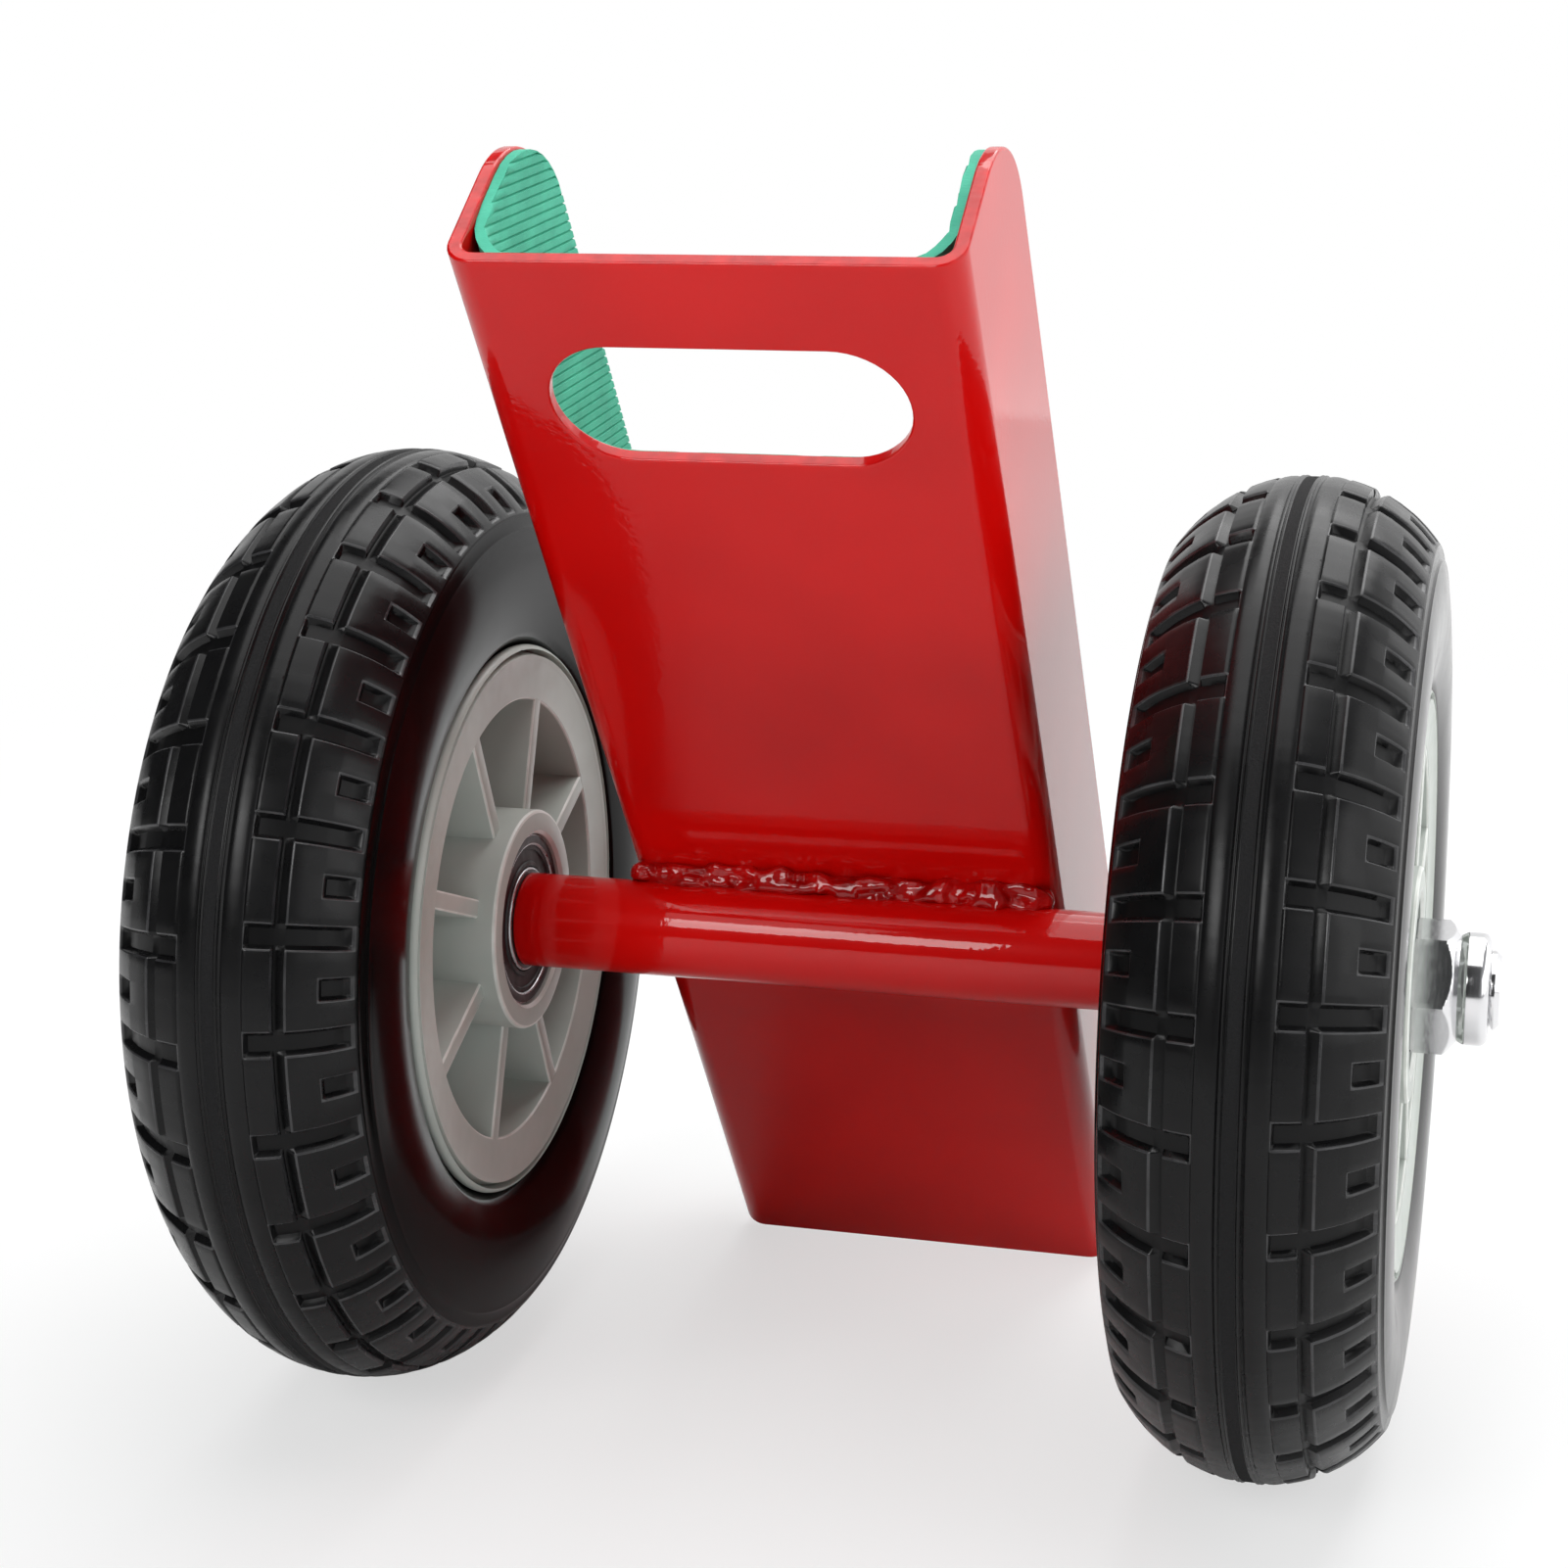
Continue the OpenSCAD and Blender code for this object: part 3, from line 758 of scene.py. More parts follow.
def pocket_outline(inset, start):
    """(radius, angle) along a pocket: up a rib, along the barrel, down the next. inset shrinks it."""
    half = RIB_HALF + inset
    outer = POCKET_R - inset
    pitch = 360 / RIB_COUNT
    radii = np.linspace(HUB_R - POCKET_OVERLAP, outer, RIB_POINTS)
    edge = np.degrees(np.arcsin(half / radii))
    sweep = np.linspace(edge[-1], pitch - edge[-1], POCKET_POINTS + 1)
    first = [(r, start + e) for r, e in zip(radii[:-1], edge[:-1])]
    along = [(outer, start + a) for a in sweep]
    last = [(r, start + pitch - e) for r, e in zip(radii[:-1], edge[:-1])][::-1]
    return np.array(first + along + last)


def pocket_levels():
    """Inset of a pocket's outline and its axial place, from its top edge to its floor."""
    rounded = POCKET_BEVEL * BEVEL_ROUND_SHARE
    levels = [(-POCKET_BEVEL, POCKET_Z), (-rounded, POCKET_Z - rounded), (0, POCKET_Z - POCKET_BEVEL)]
    for turn in np.radians(np.linspace(0, 90, 4)):
        inset = POCKET_DRAFT + POCKET_FILLET * (1 - math.cos(turn))
        levels.append((inset, DISC_HALF + POCKET_FILLET * (1 - math.sin(turn))))
    return levels


def rim_face(shape, side, end):
    """One face of the rim: lip, ring face, tops of the ribs, and pockets."""
    pitch = 360 / RIB_COUNT
    lip = np.array(lip_rows())
    tops = [pocket_outline(-POCKET_BEVEL, RIB_TURN + k * pitch) for k in range(-1, RIB_COUNT)]
    angles = np.concatenate([top[top[:, 0] > POCKET_R] for top in tops[1:]])[:, 1]
    shape.grid(around_axle(side, end * lip[:, :1], lip[:, 1:], angles[None, :]))
    for k in range(RIB_COUNT):
        levels = []
        for inset, axial in pocket_levels():
            outline = pocket_outline(inset, RIB_TURN + k * pitch)
            levels.append(around_axle(side, end * axial, outline[:, 0], outline[:, 1]))
        # The bevel at the top of each pocket gets the pale plastic, a painted edge highlight.
        slots = [[int(level < POCKET_BEVEL_BANDS)] * len(levels[0]) for level in range(len(levels))]
        shape.grid(levels, closed=False, slots=slots)
        shape.face(levels[-1])
        edges = (tops[k][::-1][:RIB_POINTS], tops[k + 1][:RIB_POINTS])
        rib = [around_axle(side, end * POCKET_Z, edge[:, 0], edge[:, 1]) for edge in edges]
        shape.grid(rib, closed=False)


def hub_profile():
    mouth = BEARING_R + FIT_GAP
    rounded = BEVEL_ROUND_SHARE * HUB_CHAMFER
    profile = []
    for end in (INBOARD, OUTBOARD):
        reach = HUB_REACH[end]
        seat = reach - BEARING_RECESS - BEARING_W
        part = [(seat, HUB_BORE_R), (seat, mouth), (reach - HUB_CHAMFER, mouth),
                (reach, mouth + HUB_CHAMFER), (reach, HUB_R - HUB_CHAMFER),
                (reach - rounded, HUB_R - rounded), (reach - HUB_CHAMFER, HUB_R)]
        part = [(end * axial, r) for axial, r in part]
        profile += part if end == OUTBOARD else part[::-1]
    return profile


def rim(prefix, side):
    shape = Shape()
    for end in ENDS.values():
        rim_face(shape, side, end)
    revolve(shape, side, hub_profile(), RING_COLUMNS)
    # The hub's sloped faces get the pale plastic too, a painted edge highlight.
    make_piece(prefix + "_rim", shape, [RIM_GREY, RIM_EDGE_HIGHLIGHT], prefix + "_wheel", sharp=32)


for prefix, side in SIDES.items():
    rim(prefix, side)


# Bearings
def inner_ring(stem, side, middle):
    half = BEARING_W / 2
    section = rounded_box((middle - half, SHAFT_R + FIT_GAP), (middle + half, INNER_RING_R), RING_ROUND)
    shape = Shape()
    revolve(shape, side, section, RING_COLUMNS)
    make_piece(stem + "_inner_ring", shape, [DARK_STEEL, STEEL], "frame", sharp=40)


def outer_ring(stem, side, middle, wheel):
    """A ring with a wider seat for a seal at each face."""
    half = BEARING_W / 2
    race_half = half - SEAL_RECESS - SEAL_T
    section = rounded_box((middle - race_half, OUTER_RING_R), (middle + race_half, BEARING_R), RACE_ROUND)
    shape = Shape()
    revolve(shape, side, section, RING_COLUMNS)
    for face in (-1, 1):
        low, high = sorted((middle + face * race_half, middle + face * half))
        section = rounded_box((low, OUTER_RING_R + SEAL_SEAT), (high, BEARING_R), RING_ROUND)
        revolve(shape, side, section, RING_COLUMNS)
    make_piece(stem + "_outer_ring", shape, [DARK_STEEL, STEEL], wheel, sharp=40)


def seals(stem, side, middle, wheel):
    """A dished ring of rubber at each face of a bearing."""
    low_r = INNER_RING_R + SEAL_PLAY
    high_r = OUTER_RING_R + SEAL_SEAT - FIT_GAP
    step = (high_r - low_r) * SEAL_STEP_SHARE
    flat = step * SEAL_FLAT_SHARE
    shape = Shape()
    for face in (-1, 1):
        outside = middle + face * (BEARING_W / 2 - SEAL_RECESS)
        inside = outside - face * SEAL_T
        dished = outside - face * SEAL_DISH
        profile = [(inside, low_r), (outside, low_r), (outside, low_r + flat), (dished, low_r + step),
                   (dished, high_r - step), (outside, high_r - flat), (outside, high_r), (inside, high_r)]
        revolve(shape, side, profile, RING_COLUMNS)
    make_piece(stem + "_seals", shape, [SEAL], wheel, sharp=30)


for prefix, side in SIDES.items():
    for place, end in ENDS.items():
        stem = prefix + "_" + place
        middle = end * (HUB_REACH[end] - BEARING_RECESS - BEARING_W / 2)
        inner_ring(stem, side, middle)
        outer_ring(stem, side, middle, prefix + "_wheel")
        seals(stem, side, middle, prefix + "_wheel")


# Axle
def axle_tube():
    low = (-TUBE_HALF - WHEEL_X, SHAFT_R + BORE_PLAY)
    high = (TUBE_HALF - WHEEL_X, TUBE_R)
    shape = Shape()
    revolve(shape, RIGHT, rounded_box(low, high, TUBE_ROUND), TUBE_COLUMNS)
    make_piece("axle_tube", shape, [RED], "frame", sharp=40)


def axle_shaft():
    """A bar with a cut thread at each end."""
    angles = np.linspace(0, 360, SHAFT_COLUMNS, endpoint=False)
    tip = SHAFT_HALF - SHAFT_CHAMFER
    thread = np.linspace(SHAFT_HALF - THREAD_L, tip, THREAD_ROWS)
    places = np.concatenate([-thread[::-1], thread])
    wave = (places[:, None] / THREAD_PITCH - angles[None, :] / 360) % 1
    cut = THREAD_DEPTH * np.clip(np.abs(wave - 0.5) * 4 - 1, 0, 1)
    cut[np.abs(places) < SHAFT_HALF - THREAD_L + THREAD_END] = 0
    cut[np.abs(places) > tip - THREAD_END] = 0
    rows = around_axle(RIGHT, places[:, None] - WHEEL_X, SHAFT_R - cut, angles[None, :])
    shape = Shape()
    caps = []
    for end in (-1, 1):
        caps.append(around_axle(RIGHT, end * SHAFT_HALF - WHEEL_X, SHAFT_R - SHAFT_CHAMFER, angles))
    shape.grid(np.concatenate([caps[0][None], rows, caps[1][None]]))
    for cap in caps:
        shape.face(cap)
    make_piece("axle_shaft", shape, [ZINC], "frame", sharp=30)


def nut_radius(axial, angles):
    """Radius of a nut's outside: a chamfered hexagon, a waist, and a round collar."""
    half = NUT_FLATS / 2
    corner = half / math.cos(math.radians(30))
    chamfer = (corner - half) / 2
    top = NUT_HEX_H + NUT_COLLAR_H
    from_flat = (angles - NUT_TURN) % 60 - 30
    hexagon = half / np.cos(np.radians(from_flat))
    cone = np.interp(axial, (0, chamfer, NUT_HEX_H - NUT_CONE_L, NUT_HEX_H),
                     (corner - chamfer, corner, corner, NUT_NECK_R))
    round_start = top - NUT_COLLAR_ROUND
    rounding = np.sqrt(np.clip(NUT_COLLAR_ROUND**2 - np.clip(axial - round_start, 0, None)**2, 0, None))
    collar = NUT_COLLAR_R - NUT_COLLAR_ROUND + rounding
    waist = np.interp(axial, (NUT_HEX_H, NUT_HEX_H + NUT_WAIST_L), (NUT_NECK_R, NUT_COLLAR_R))
    return np.where(axial <= NUT_HEX_H, np.minimum(hexagon, cone), np.minimum(collar, waist))


def axle_nut(prefix, side):
    seat = HUB_REACH[OUTBOARD] - BEARING_RECESS
    top = NUT_HEX_H + NUT_COLLAR_H
    angles = np.linspace(0, 360, NUT_COLUMNS, endpoint=False) + NUT_TURN
    foot = np.linspace(0, NUT_FOOT_L, 5)
    cone = np.linspace(NUT_HEX_H - NUT_CONE_L, NUT_HEX_H, 18)
    waist = np.linspace(NUT_HEX_H + NUT_WAIST_ROWS[0], NUT_HEX_H + NUT_WAIST_ROWS[1], 8)
    collar = top - NUT_COLLAR_ROUND * (1 - np.sin(np.radians(np.linspace(0, 90, 8))))
    axial = np.concatenate([foot, cone, waist, collar])[:, None]
    bore = SHAFT_R + BORE_PLAY
    mouth = np.array([(top - drop, bore + wider) for drop, wider in NUT_MOUTH] + [(0, bore)])
    outside = around_axle(side, seat + axial, nut_radius(axial, angles[None, :]), angles[None, :])
    inside = around_axle(side, seat + mouth[:, :1], mouth[:, 1:], angles[None, :])
    shape = Shape()
    shape.grid(np.concatenate([outside, inside]), ring=True)
    make_piece(prefix + "_axle_nut", shape, [ZINC], "frame", sharp=24)


axle_tube()
axle_shaft()
for prefix, side in SIDES.items():
    axle_nut(prefix, side)


# Channel
def u_outline(half, height, radius):
    """(x, height) points of a tray's outline from one free edge round both bends to the other."""
    points = [(-half, height)]
    for sign, start in ((-1, 180), (1, 270)):
        middle = sign * (half - radius)
        for turn in np.radians(np.linspace(start, start + 90, BEND_STEPS + 1)):
            points.append((middle + radius * math.cos(turn), radius + radius * math.sin(turn)))
    return points + [(half, height)]


def solid_between(ends):
    """A solid between two matching closed outlines."""
    shape = Shape()
    shape.grid(ends)
    shape.face(ends[0][::-1])
    shape.face(ends[1])
    return shape


def cutter(name, ends):
    return new_object(name, shape_mesh(name, solid_between(ends)))


def slot_cutter():
    radius = SLOT_W / 2
    middle = SLOT_L / 2 - radius
    turns = np.radians(np.linspace(-90, 90, 25))
    right_end = np.stack([middle + radius * np.cos(turns), radius * np.sin(turns)], -1)
    loop = np.concatenate([right_end, -right_end])
    length = UPPER_L - SLOT_DROP + loop[:, 1]
    return cutter("slot", [on_channel(loop[:, 0], height, length) for height in (0, WEB_H + FLANGE_H / 2)])


def corner_cutter(end, limit):
    """What is cut off to round the free corners of both flanges at one end of the channel."""
    turns = np.radians(np.linspace(0, 90, 17))
    low = WEB_H + FLANGE_H - CORNER_R
    past = WEB_H + FLANGE_H + CUT_MARGIN
    height = np.concatenate([low + CORNER_R * np.cos(turns), [low, past, past]])
    start = limit - CORNER_R
    beyond = limit + CUT_MARGIN
    length = np.concatenate([start + CORNER_R * np.sin(turns), [beyond, beyond, start]])
    reach = CHANNEL_HALF + CUT_MARGIN
    return cutter("corner", [on_channel(x, height, end * length) for x in (-reach, reach)])


def cut_away(piece, blocks):
    """Takes the blocks out of the piece and removes them."""
    for block in blocks:
        step = piece.modifiers.new("cut", "BOOLEAN")
        step.operation = "DIFFERENCE"
        step.solver = "EXACT"
        step.object = block
    graph = bpy.context.evaluated_depsgraph_get()
    mesh = bpy.data.meshes.new_from_object(piece.evaluated_get(graph))
    piece.modifiers.clear()
    piece.data = mesh
    for block in blocks:
        bpy.data.objects.remove(block)


def round_edges(piece, width, least):
    """Rounds every edge of the piece that is sharper than the least angle."""
    work = bmesh.new()
    work.from_mesh(piece.data)
    bmesh.ops.dissolve_limit(work, angle_limit=math.radians(FLAT_ANGLE), verts=work.verts, edges=work.edges)
    edges = [e for e in work.edges if len(e.link_faces) == 2 and e.calc_face_angle() > math.radians(least)]
    bmesh.ops.bevel(work, geom=edges, offset=width * MM, offset_type="OFFSET", segments=3, profile=0.5,
                    affect="EDGES", clamp_overlap=True, harden_normals=False)
    work.to_mesh(piece.data)
    work.free()


def mark_sheared_edges(mesh):
    """Gives the second material to the faces across the plate's thickness."""
    s, c = math.sin(math.radians(LEAN)), math.cos(math.radians(LEAN))
    for face in mesh.polygons:
        across = face.normal.z * c - face.normal.y * s
        out = face.normal.y * c + face.normal.z * s
        y = face.center.y / MM - AXLE[1]
        z = face.center.z / MM - AXLE[2]
        height = y * c + z * s - WEB_H
        length = z * c - y * s
        in_slot = abs(out) < SLOT_WALL_SHARE and abs(face.center.x / MM) < SLOT_L / 2 + EDGE_ROUND
        in_slot = in_slot and abs(length - UPPER_L + SLOT_DROP) < SLOT_W / 2 + EDGE_ROUND
        if abs(across) > SHEARED_SHARE or in_slot or height > FLANGE_H - EDGE_ROUND:
            face.material_index = 1


def channel():
    outer = u_outline(CHANNEL_HALF, FLANGE_H, BEND_R)
    inner = u_outline(CHANNEL_HALF - PLATE_T, FLANGE_H - PLATE_T, BEND_R - PLATE_T)
    outline = [(x, h + WEB_H) for x, h in outer] + [(x, h + WEB_H + PLATE_T) for x, h in inner[::-1]]
    x, height = np.array(outline).T
    shape = solid_between([on_channel(x, height, length) for length in (-LOWER_L, UPPER_L)])
    piece = make_piece("channel", shape, [RED], "frame")
    cut_away(piece, [slot_cutter(), corner_cutter(1, UPPER_L), corner_cutter(-1, LOWER_L)])
    round_edges(piece, EDGE_ROUND, least=40)
    piece.data.materials.append(EDGE_RED)
    mark_sheared_edges(piece.data)
    shade_smooth(piece.data, sharp=30)
    even_light(piece)


channel()


# Liner
def liner_section():
    """Developed width, (x, height) place and outward direction of each column of the liner's face."""
    half = CHANNEL_HALF - PLATE_T - GLUE_GAP - LINER_T
    floor = WEB_H + PLATE_T + GLUE_GAP + LINER_T
    edge = WEB_H + FLANGE_H - LINER_EDGE_INSET
    radius = LINER_BEND_R - LINER_T
    bend_start = half - radius
    slot_reach = (SLOT_L - SLOT_W) / 2
    slot_arc = slot_reach + (SLOT_W / 2 + LINER_SLOT_MARGIN) * np.sin(np.radians(np.linspace(0, 90, 16)))
    slot_turns = np.degrees(np.arcsin((slot_arc[slot_arc > bend_start] - bend_start) / radius))
    columns = []
    for x in [*np.linspace(0, slot_reach, 8)[:-1], *slot_arc[slot_arc < bend_start], bend_start]:
        columns.append((x, x, floor, 0, 1))
    for turn in sorted([*slot_turns, *np.linspace(0, 90, 8)[1:]]):
        s, c = math.sin(math.radians(turn)), math.cos(math.radians(turn))
        width = bend_start + radius * math.radians(turn)
        columns.append((width, bend_start + radius * s, floor + radius - radius * c, -s, c))
    bend = bend_start + radius * math.pi / 2
    rise = floor + radius
    for height in rise + (edge - rise) * np.sin(np.radians(np.linspace(0, 90, 14)))[1:]:
        columns.append((bend + height - rise, half, height, -1, 0))
    right = np.array(columns)
    left = right[1:][::-1] * np.array([-1, -1, 1, -1, 1])
    return np.concatenate([left, right])


def liner_limits(section):
    """Lowest and highest place of the liner along each column, with its rounded free corners."""
    edge = WEB_H + FLANGE_H - LINER_EDGE_INSET
    radius = CORNER_R - LINER_END_INSET
    into = np.clip(section[:, 2] - (edge - radius), 0, radius)
    shorter = radius - np.sqrt(radius**2 - into**2)
    above_floor = section[:, 2] - section[:, 2].min()
    trim = LINER_FLOOR_TRIM * np.clip(1 - above_floor / LINER_BEND_R, 0, 1)
    return LINER_END_INSET - LOWER_L + shorter, UPPER_L - LINER_END_INSET - shorter - trim


def liner_slot(section):
    """Half height of the hand slot's opening at each column."""
    radius = SLOT_W / 2 + LINER_SLOT_MARGIN
    past = np.clip(np.abs(section[:, 1]) - (SLOT_L - SLOT_W) / 2, 0, None)
    inside = (past < radius) & (section[:, 2] < WEB_H + FLANGE_H / 3)
    return np.where(inside, np.sqrt(np.clip(radius**2 - past**2, 0, None)), 0)


def ridge_slant(width):
    """How far a rib has come down at a developed width from the middle of the web."""
    return math.tan(math.radians(RIDGE_SLANT)) * np.abs(width)


def ridge_rise(width, length):
    """Height of the ridged face above its base: flat ribs parted by narrow grooves."""
    along = length + ridge_slant(width)
    from_groove = np.abs(along / RIDGE_PITCH % 1 - 0.5) * 2
    return RIDGE_H * np.clip((1 - from_groove) / RIDGE_GROOVE_SHARE, 0, 1)


def liner_patch(shape, section, low, high):
    """A part of the liner between two limits of each column: its ridged face, its back and its edges."""
    width, x, height, out_x, out_height = section.T[:, None, :]
    slant = ridge_slant(width)
    first = math.floor(low.min() / RIDGE_PITCH)
    last = math.ceil((high + slant).max() / RIDGE_PITCH)
    places = np.array([-RIDGE_GROOVE_SHARE, 0, RIDGE_GROOVE_SHARE, 1]) / 2
    lines = ((np.arange(first, last + 1)[:, None] + places[None, :]) * RIDGE_PITCH).ravel()
    length = np.clip(lines[:, None] - slant, low[None, :], high[None, :])
    rise = ridge_rise(width, length) - RIDGE_H
    face = on_channel(x + out_x * rise, height + out_height * rise, length)
    back = on_channel(x - out_x * LINER_T, height - out_height * LINER_T, length)
    shape.grid(face, closed=False)
    shape.grid(back[:, ::-1], closed=False)
    for row in (0, -1):
        shape.grid([face[row], back[row]] if row else [back[row], face[row]], closed=False)
    for column in (0, -1):
        edge = [face[:, column], back[:, column]]
        shape.grid(edge if column else edge[::-1], closed=False)


def channel_liner():
    section = liner_section()
    low, high = liner_limits(section)
    slot_half = liner_slot(section)
    middle = UPPER_L - SLOT_DROP
    shape = Shape()
    liner_patch(shape, section, low, middle - slot_half)
    liner_patch(shape, section, middle + slot_half, high)
    piece = make_piece("channel_liner", shape, [GREEN], "frame", sharp=60, solid=False)


channel_liner()


# Welds
def weld_wave(x, turn, up, wave):
    along, rate, offset = wave
    across = math.sin(turn) + WELD_APART * up
    return noise.noise((x / along, rate * math.cos(turn) + offset, rate * across))


def weld_crack(x, turn, up):
    """Depth of a crease that runs along parts of the bead."""
    deep = max(0, noise.noise((x / CRACK_L, CRACK_OFFSET, up)) + CRACK_BIAS)
    return deep * math.exp(-((math.degrees(turn) - CRACK_TURN) / CRACK_SPREAD)**2)


def weld_swell(stations, turns, up):
    """How far the bead's surface lies above its round body, as a share of its radius."""
    swell = np.zeros((len(stations), len(turns)))
    for i, x in enumerate(stations):
        for j, turn in enumerate(np.radians(turns)):
            broad = weld_wave(x, turn, up, WELD_BROAD)
            plate = math.tanh(WELD_PLATE_CRISP * weld_wave(x, turn, up, WELD_PLATE))
            lump = weld_wave(x, turn, up, WELD_LUMP)
            swell[i, j] = WELD_BROAD_SHARE * broad + WELD_PLATE_SHARE * plate + WELD_LUMP_SHARE * lump
            swell[i, j] -= CRACK_SHARE * weld_crack(x, turn, up)
    random = np.random.default_rng(DROP_SEED)
    for _ in range(DROP_COUNT):
        along = (stations - random.uniform(stations[0], stations[-1]))[:, None]
        around = ((turns - random.uniform(*DROP_TURNS)) / DEGREES_PER_RADIAN * WELD_R)[None, :]
        size = random.uniform(*DROP_SIZES)
        apart = (along / size)**2 + (around / size)**2
        swell += random.uniform(*DROP_SHARES) * np.exp(-apart**2)
    return swell


def weld_bead(name, up):
    """A lumpy run of weld metal, with drops on it, in the corner between the tube and the web."""
    stations = np.linspace(-WELD_HALF - WELD_OVERRUN, WELD_HALF + WELD_OVERRUN, 300)
    turns = np.linspace(0, 360, 40, endpoint=False)
    swell = weld_swell(stations, turns, up)
    taper = np.sqrt(np.clip(1 - np.abs(stations / stations[-1])**WELD_TAPER, WELD_TIP_SHARE, 1))[:, None]
    radius = WELD_R * taper * (WELD_BODY_SHARE + swell)
    turns = np.radians(turns)[None, :]
    height = WELD_H + radius * np.cos(turns)
    rows = on_channel(stations[:, None], height, up * (WELD_UP + radius * np.sin(turns)))
    shape = Shape()
    shape.grid(rows)
    shape.face(rows[0])
    shape.face(rows[-1])
    make_piece(name, shape, [WELD_SHADED_RED], "frame", sharp=70)


weld_bead("upper_weld", 1)
weld_bead("lower_weld", -1)


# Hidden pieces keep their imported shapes
def finish_node(node, material):
    mesh = frame["nodes"][node].data
    mesh.materials.clear()
    mesh.materials.append(material)


for prefix in SIDES:
    finish_node(prefix + "_nut_insert", NYLON)
    finish_node(prefix + "_bearing_spacer", STEEL)
    for place in ENDS:
        finish_node(prefix + "_" + place + "_balls", ZINC)
        finish_node(prefix + "_" + place + "_cage", STEEL)


# Camera at the photograph's place
PHOTO_W = 1601
FOCAL_PX = 2968
SENSOR_W = 36
CAMERA_FROM_AXLE = (186.2, -721.9, 207.9)
CAMERA_YAW = 15.51
CAMERA_PITCH = 12.484
CLIP_START = 10


def add_camera():
    data = bpy.data.cameras.new("camera")
    data.sensor_width = SENSOR_W
    data.lens = FOCAL_PX / PHOTO_W * SENSOR_W
    data.clip_start = CLIP_START * MM
    camera = new_object("camera", data)
    camera.location = Vector(AXLE + np.array(CAMERA_FROM_AXLE)) * MM
    camera.rotation_euler = (math.radians(90 - CAMERA_PITCH), 0, math.radians(CAMERA_YAW))
    bpy.context.scene.camera = camera


# Studio, in metres: a pale floor, large soft lights, and a room that is paler to the right
FLOOR_HALF = 6.0
FLOOR_COLOUR = (0.8, 0.8, 0.8)
FLOOR_FADE = (0.5, 1.2)
FLOOR_LIFT = 0.6
ROOM_COLOUR = (0.97, 0.98, 1, 1)
ROOM_SPREAD = (-0.1, 0.7)
PALE_SIDE_LIGHT = 0.45
DIM_SIDE_LIGHT = 0.04
# Each light: name, place, target, width, height and power
LIGHTS = (
    ("top", (0, 0, 2.2), (0, 0, 0), 2.0, 2.0, 35),
    ("top_front", (-0.85, -1.5, 1.6), (0, 0, 0.1), 0.9, 0.8, 3),
    ("top_back", (0.45, 1.5, 2.0), (0.4, 0.9, 0), 1.6, 1.6, 27),
    ("back", (0, 2.6, 1.0), (0, 0, 0.4), 6.0, 2.2, 38),
    ("right", (2.3, 0.4, 1.0), (0, 0, 0.3), 3.4, 2.0, 29),
    ("right_front", (1.7, -1.1, 0.8), (0, 0, 0.13), 1.5, 1.3, 7),
    ("panel", (-0.58, -1.9, 1.25), (0, 0, 0.13), 1.05, 0.7, 20),
)


def add_light(name, place, target, width, height, power):
    data = bpy.data.lights.new(name, "AREA")
    data.shape = "RECTANGLE"
    data.size = width
    data.size_y = height
    data.energy = power
    light = new_object(name, data)
    light.location = place
    light.rotation_euler = (Vector(target) - Vector(place)).to_track_quat("-Z", "Y").to_euler()


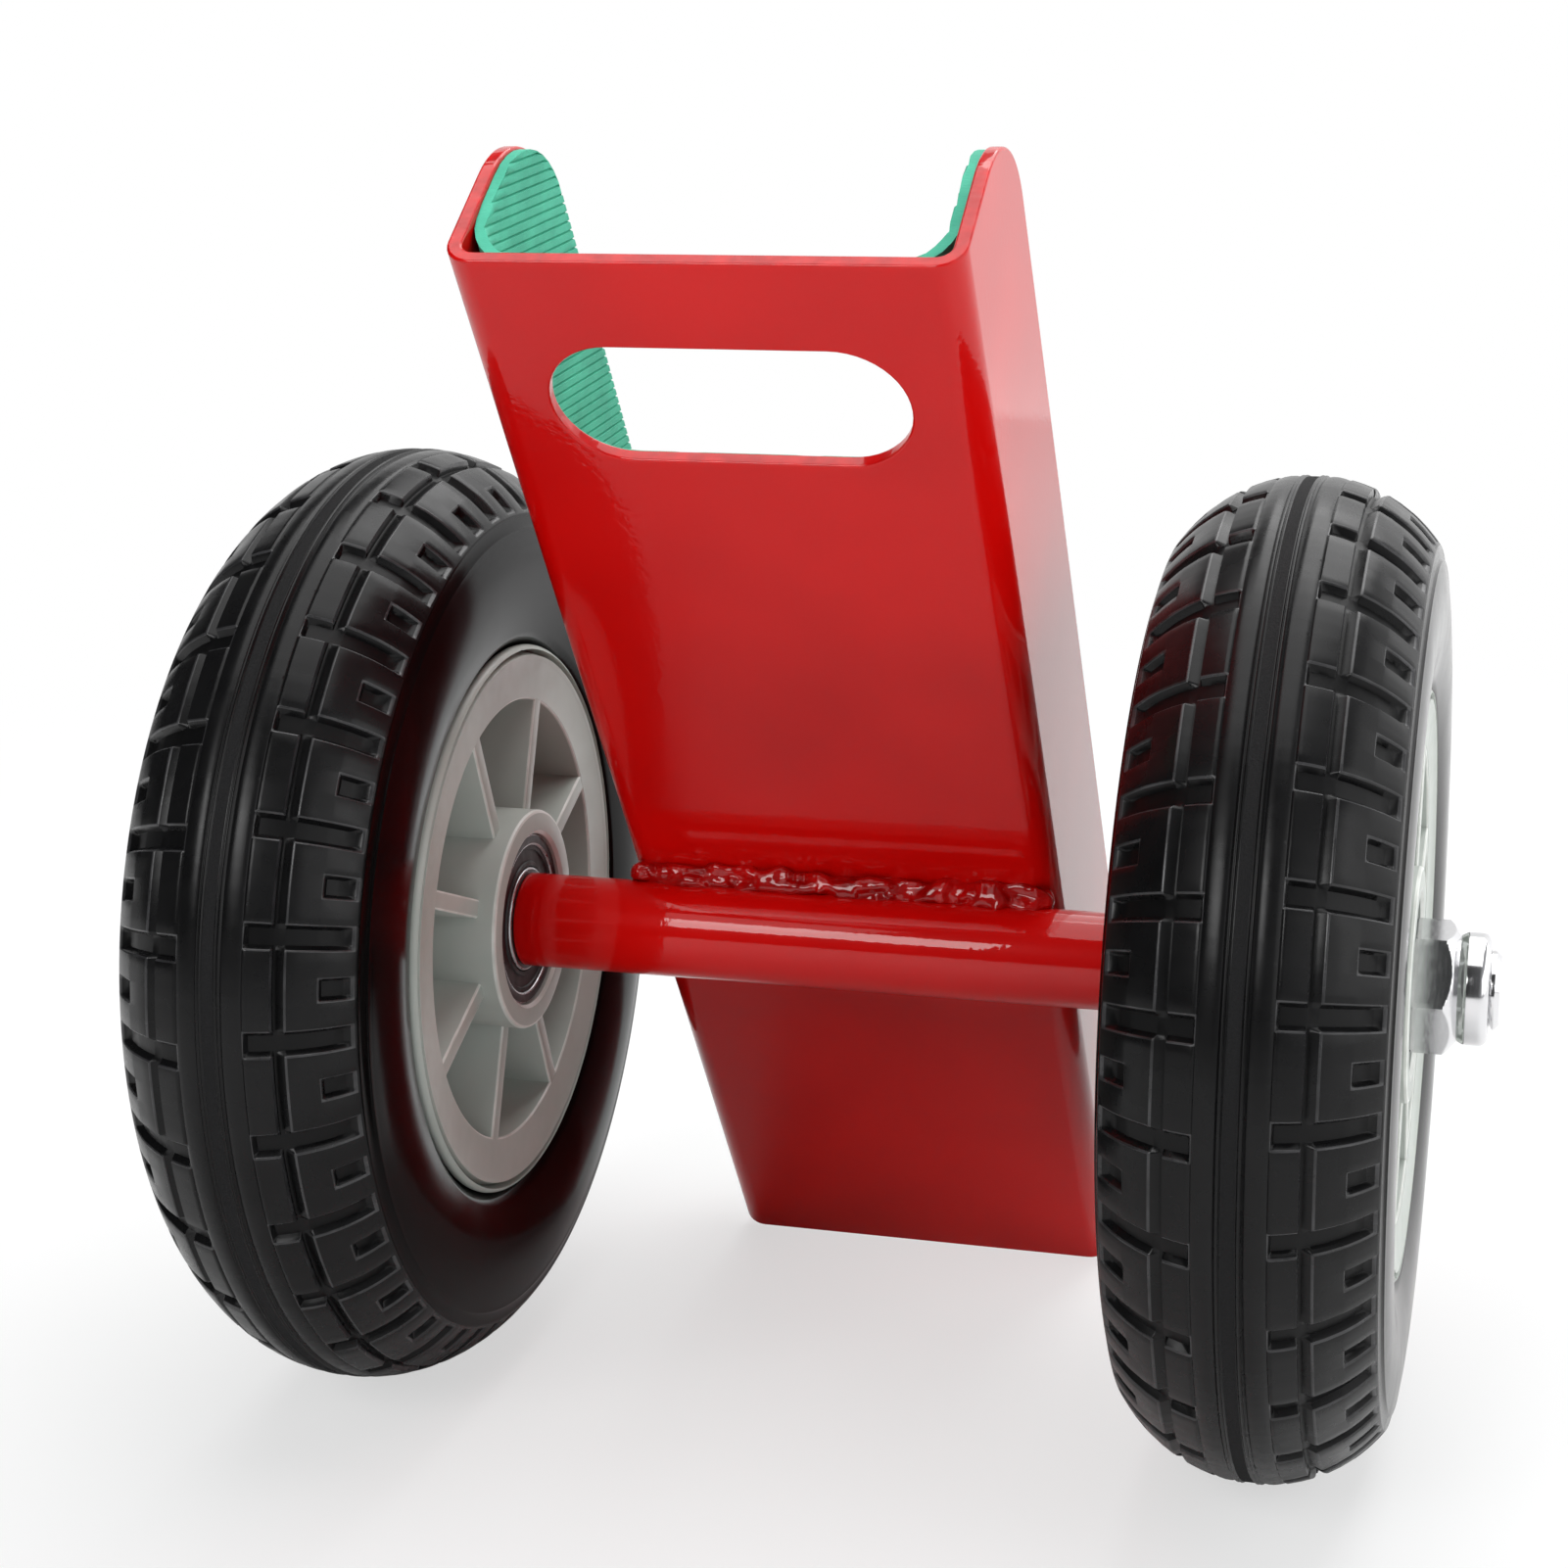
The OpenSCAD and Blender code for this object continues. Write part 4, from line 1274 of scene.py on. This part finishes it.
def add_world():
    world = bpy.data.worlds.new("studio")
    world.use_nodes = True
    tree = world.node_tree
    link = tree.links.new
    lit = tree.nodes["Background"]
    lit.inputs["Color"].default_value = ROOM_COLOUR
    place = tree.nodes.new("ShaderNodeTexCoord")
    parts = tree.nodes.new("ShaderNodeSeparateXYZ")
    spread = tree.nodes.new("ShaderNodeMapRange")
    spread.interpolation_type = "SMOOTHSTEP"
    set_range(spread, ROOM_SPREAD, (DIM_SIDE_LIGHT, PALE_SIDE_LIGHT))
    link(place.outputs["Generated"], parts.inputs["Vector"])
    link(parts.outputs["X"], spread.inputs["Value"])
    link(spread.outputs["Result"], lit.inputs["Strength"])
    seen = tree.nodes.new("ShaderNodeBackground")
    seen.inputs["Color"].default_value = (1, 1, 1, 1)
    mix = tree.nodes.new("ShaderNodeMixShader")
    path = tree.nodes.new("ShaderNodeLightPath")
    link(path.outputs["Is Camera Ray"], mix.inputs["Fac"])
    link(lit.outputs["Background"], mix.inputs[1])
    link(seen.outputs["Background"], mix.inputs[2])
    link(mix.outputs["Shader"], tree.nodes["World Output"].inputs["Surface"])
    bpy.context.scene.world = world


def add_floor():
    mesh = bpy.data.meshes.new("floor")
    corners = [(x * FLOOR_HALF, y * FLOOR_HALF, 0) for x, y in ((-1, -1), (1, -1), (1, 1), (-1, 1))]
    mesh.from_pydata(corners, [], [(0, 1, 2, 3)])
    floor = new_object("floor", mesh)
    material = new_material("pale_floor", FLOOR_COLOUR, 0.6, specular=0.1)
    tree = material.node_tree
    link = tree.links.new
    place = add_node(material, "ShaderNodeTexCoord")
    reach = add_node(material, "ShaderNodeVectorMath", operation="LENGTH")
    fade = add_node(material, "ShaderNodeMapRange", interpolation_type="SMOOTHSTEP")
    set_range(fade, FLOOR_FADE, (FLOOR_LIFT, 1))
    # For the camera the floor is mixed with a white glow, from FLOOR_LIFT near the middle to full glow
    # further out, which pales the shadows on it.
    path = add_node(material, "ShaderNodeLightPath")
    seen = add_node(material, "ShaderNodeMath", operation="MULTIPLY")
    glow = add_node(material, "ShaderNodeEmission", Strength=1.0)
    mix = add_node(material, "ShaderNodeMixShader")
    link(place.outputs["Object"], reach.inputs[0])
    link(reach.outputs["Value"], fade.inputs["Value"])
    link(fade.outputs["Result"], seen.inputs[0])
    link(path.outputs["Is Camera Ray"], seen.inputs[1])
    link(seen.outputs["Value"], mix.inputs["Fac"])
    link(tree.nodes["Principled BSDF"].outputs["BSDF"], mix.inputs[1])
    link(glow.outputs["Emission"], mix.inputs[2])
    link(mix.outputs["Shader"], tree.nodes["Material Output"].inputs["Surface"])
    mesh.materials.append(material)
    floor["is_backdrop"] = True


add_camera()
add_world()
add_floor()
for light in LIGHTS:
    add_light(*light)
bpy.context.scene.view_settings.view_transform = "Standard"

boxes = {"cad": cad_box, "visual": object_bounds()}
boxes = {name: [list(map(float, corner)) for corner in box] for name, box in boxes.items()}
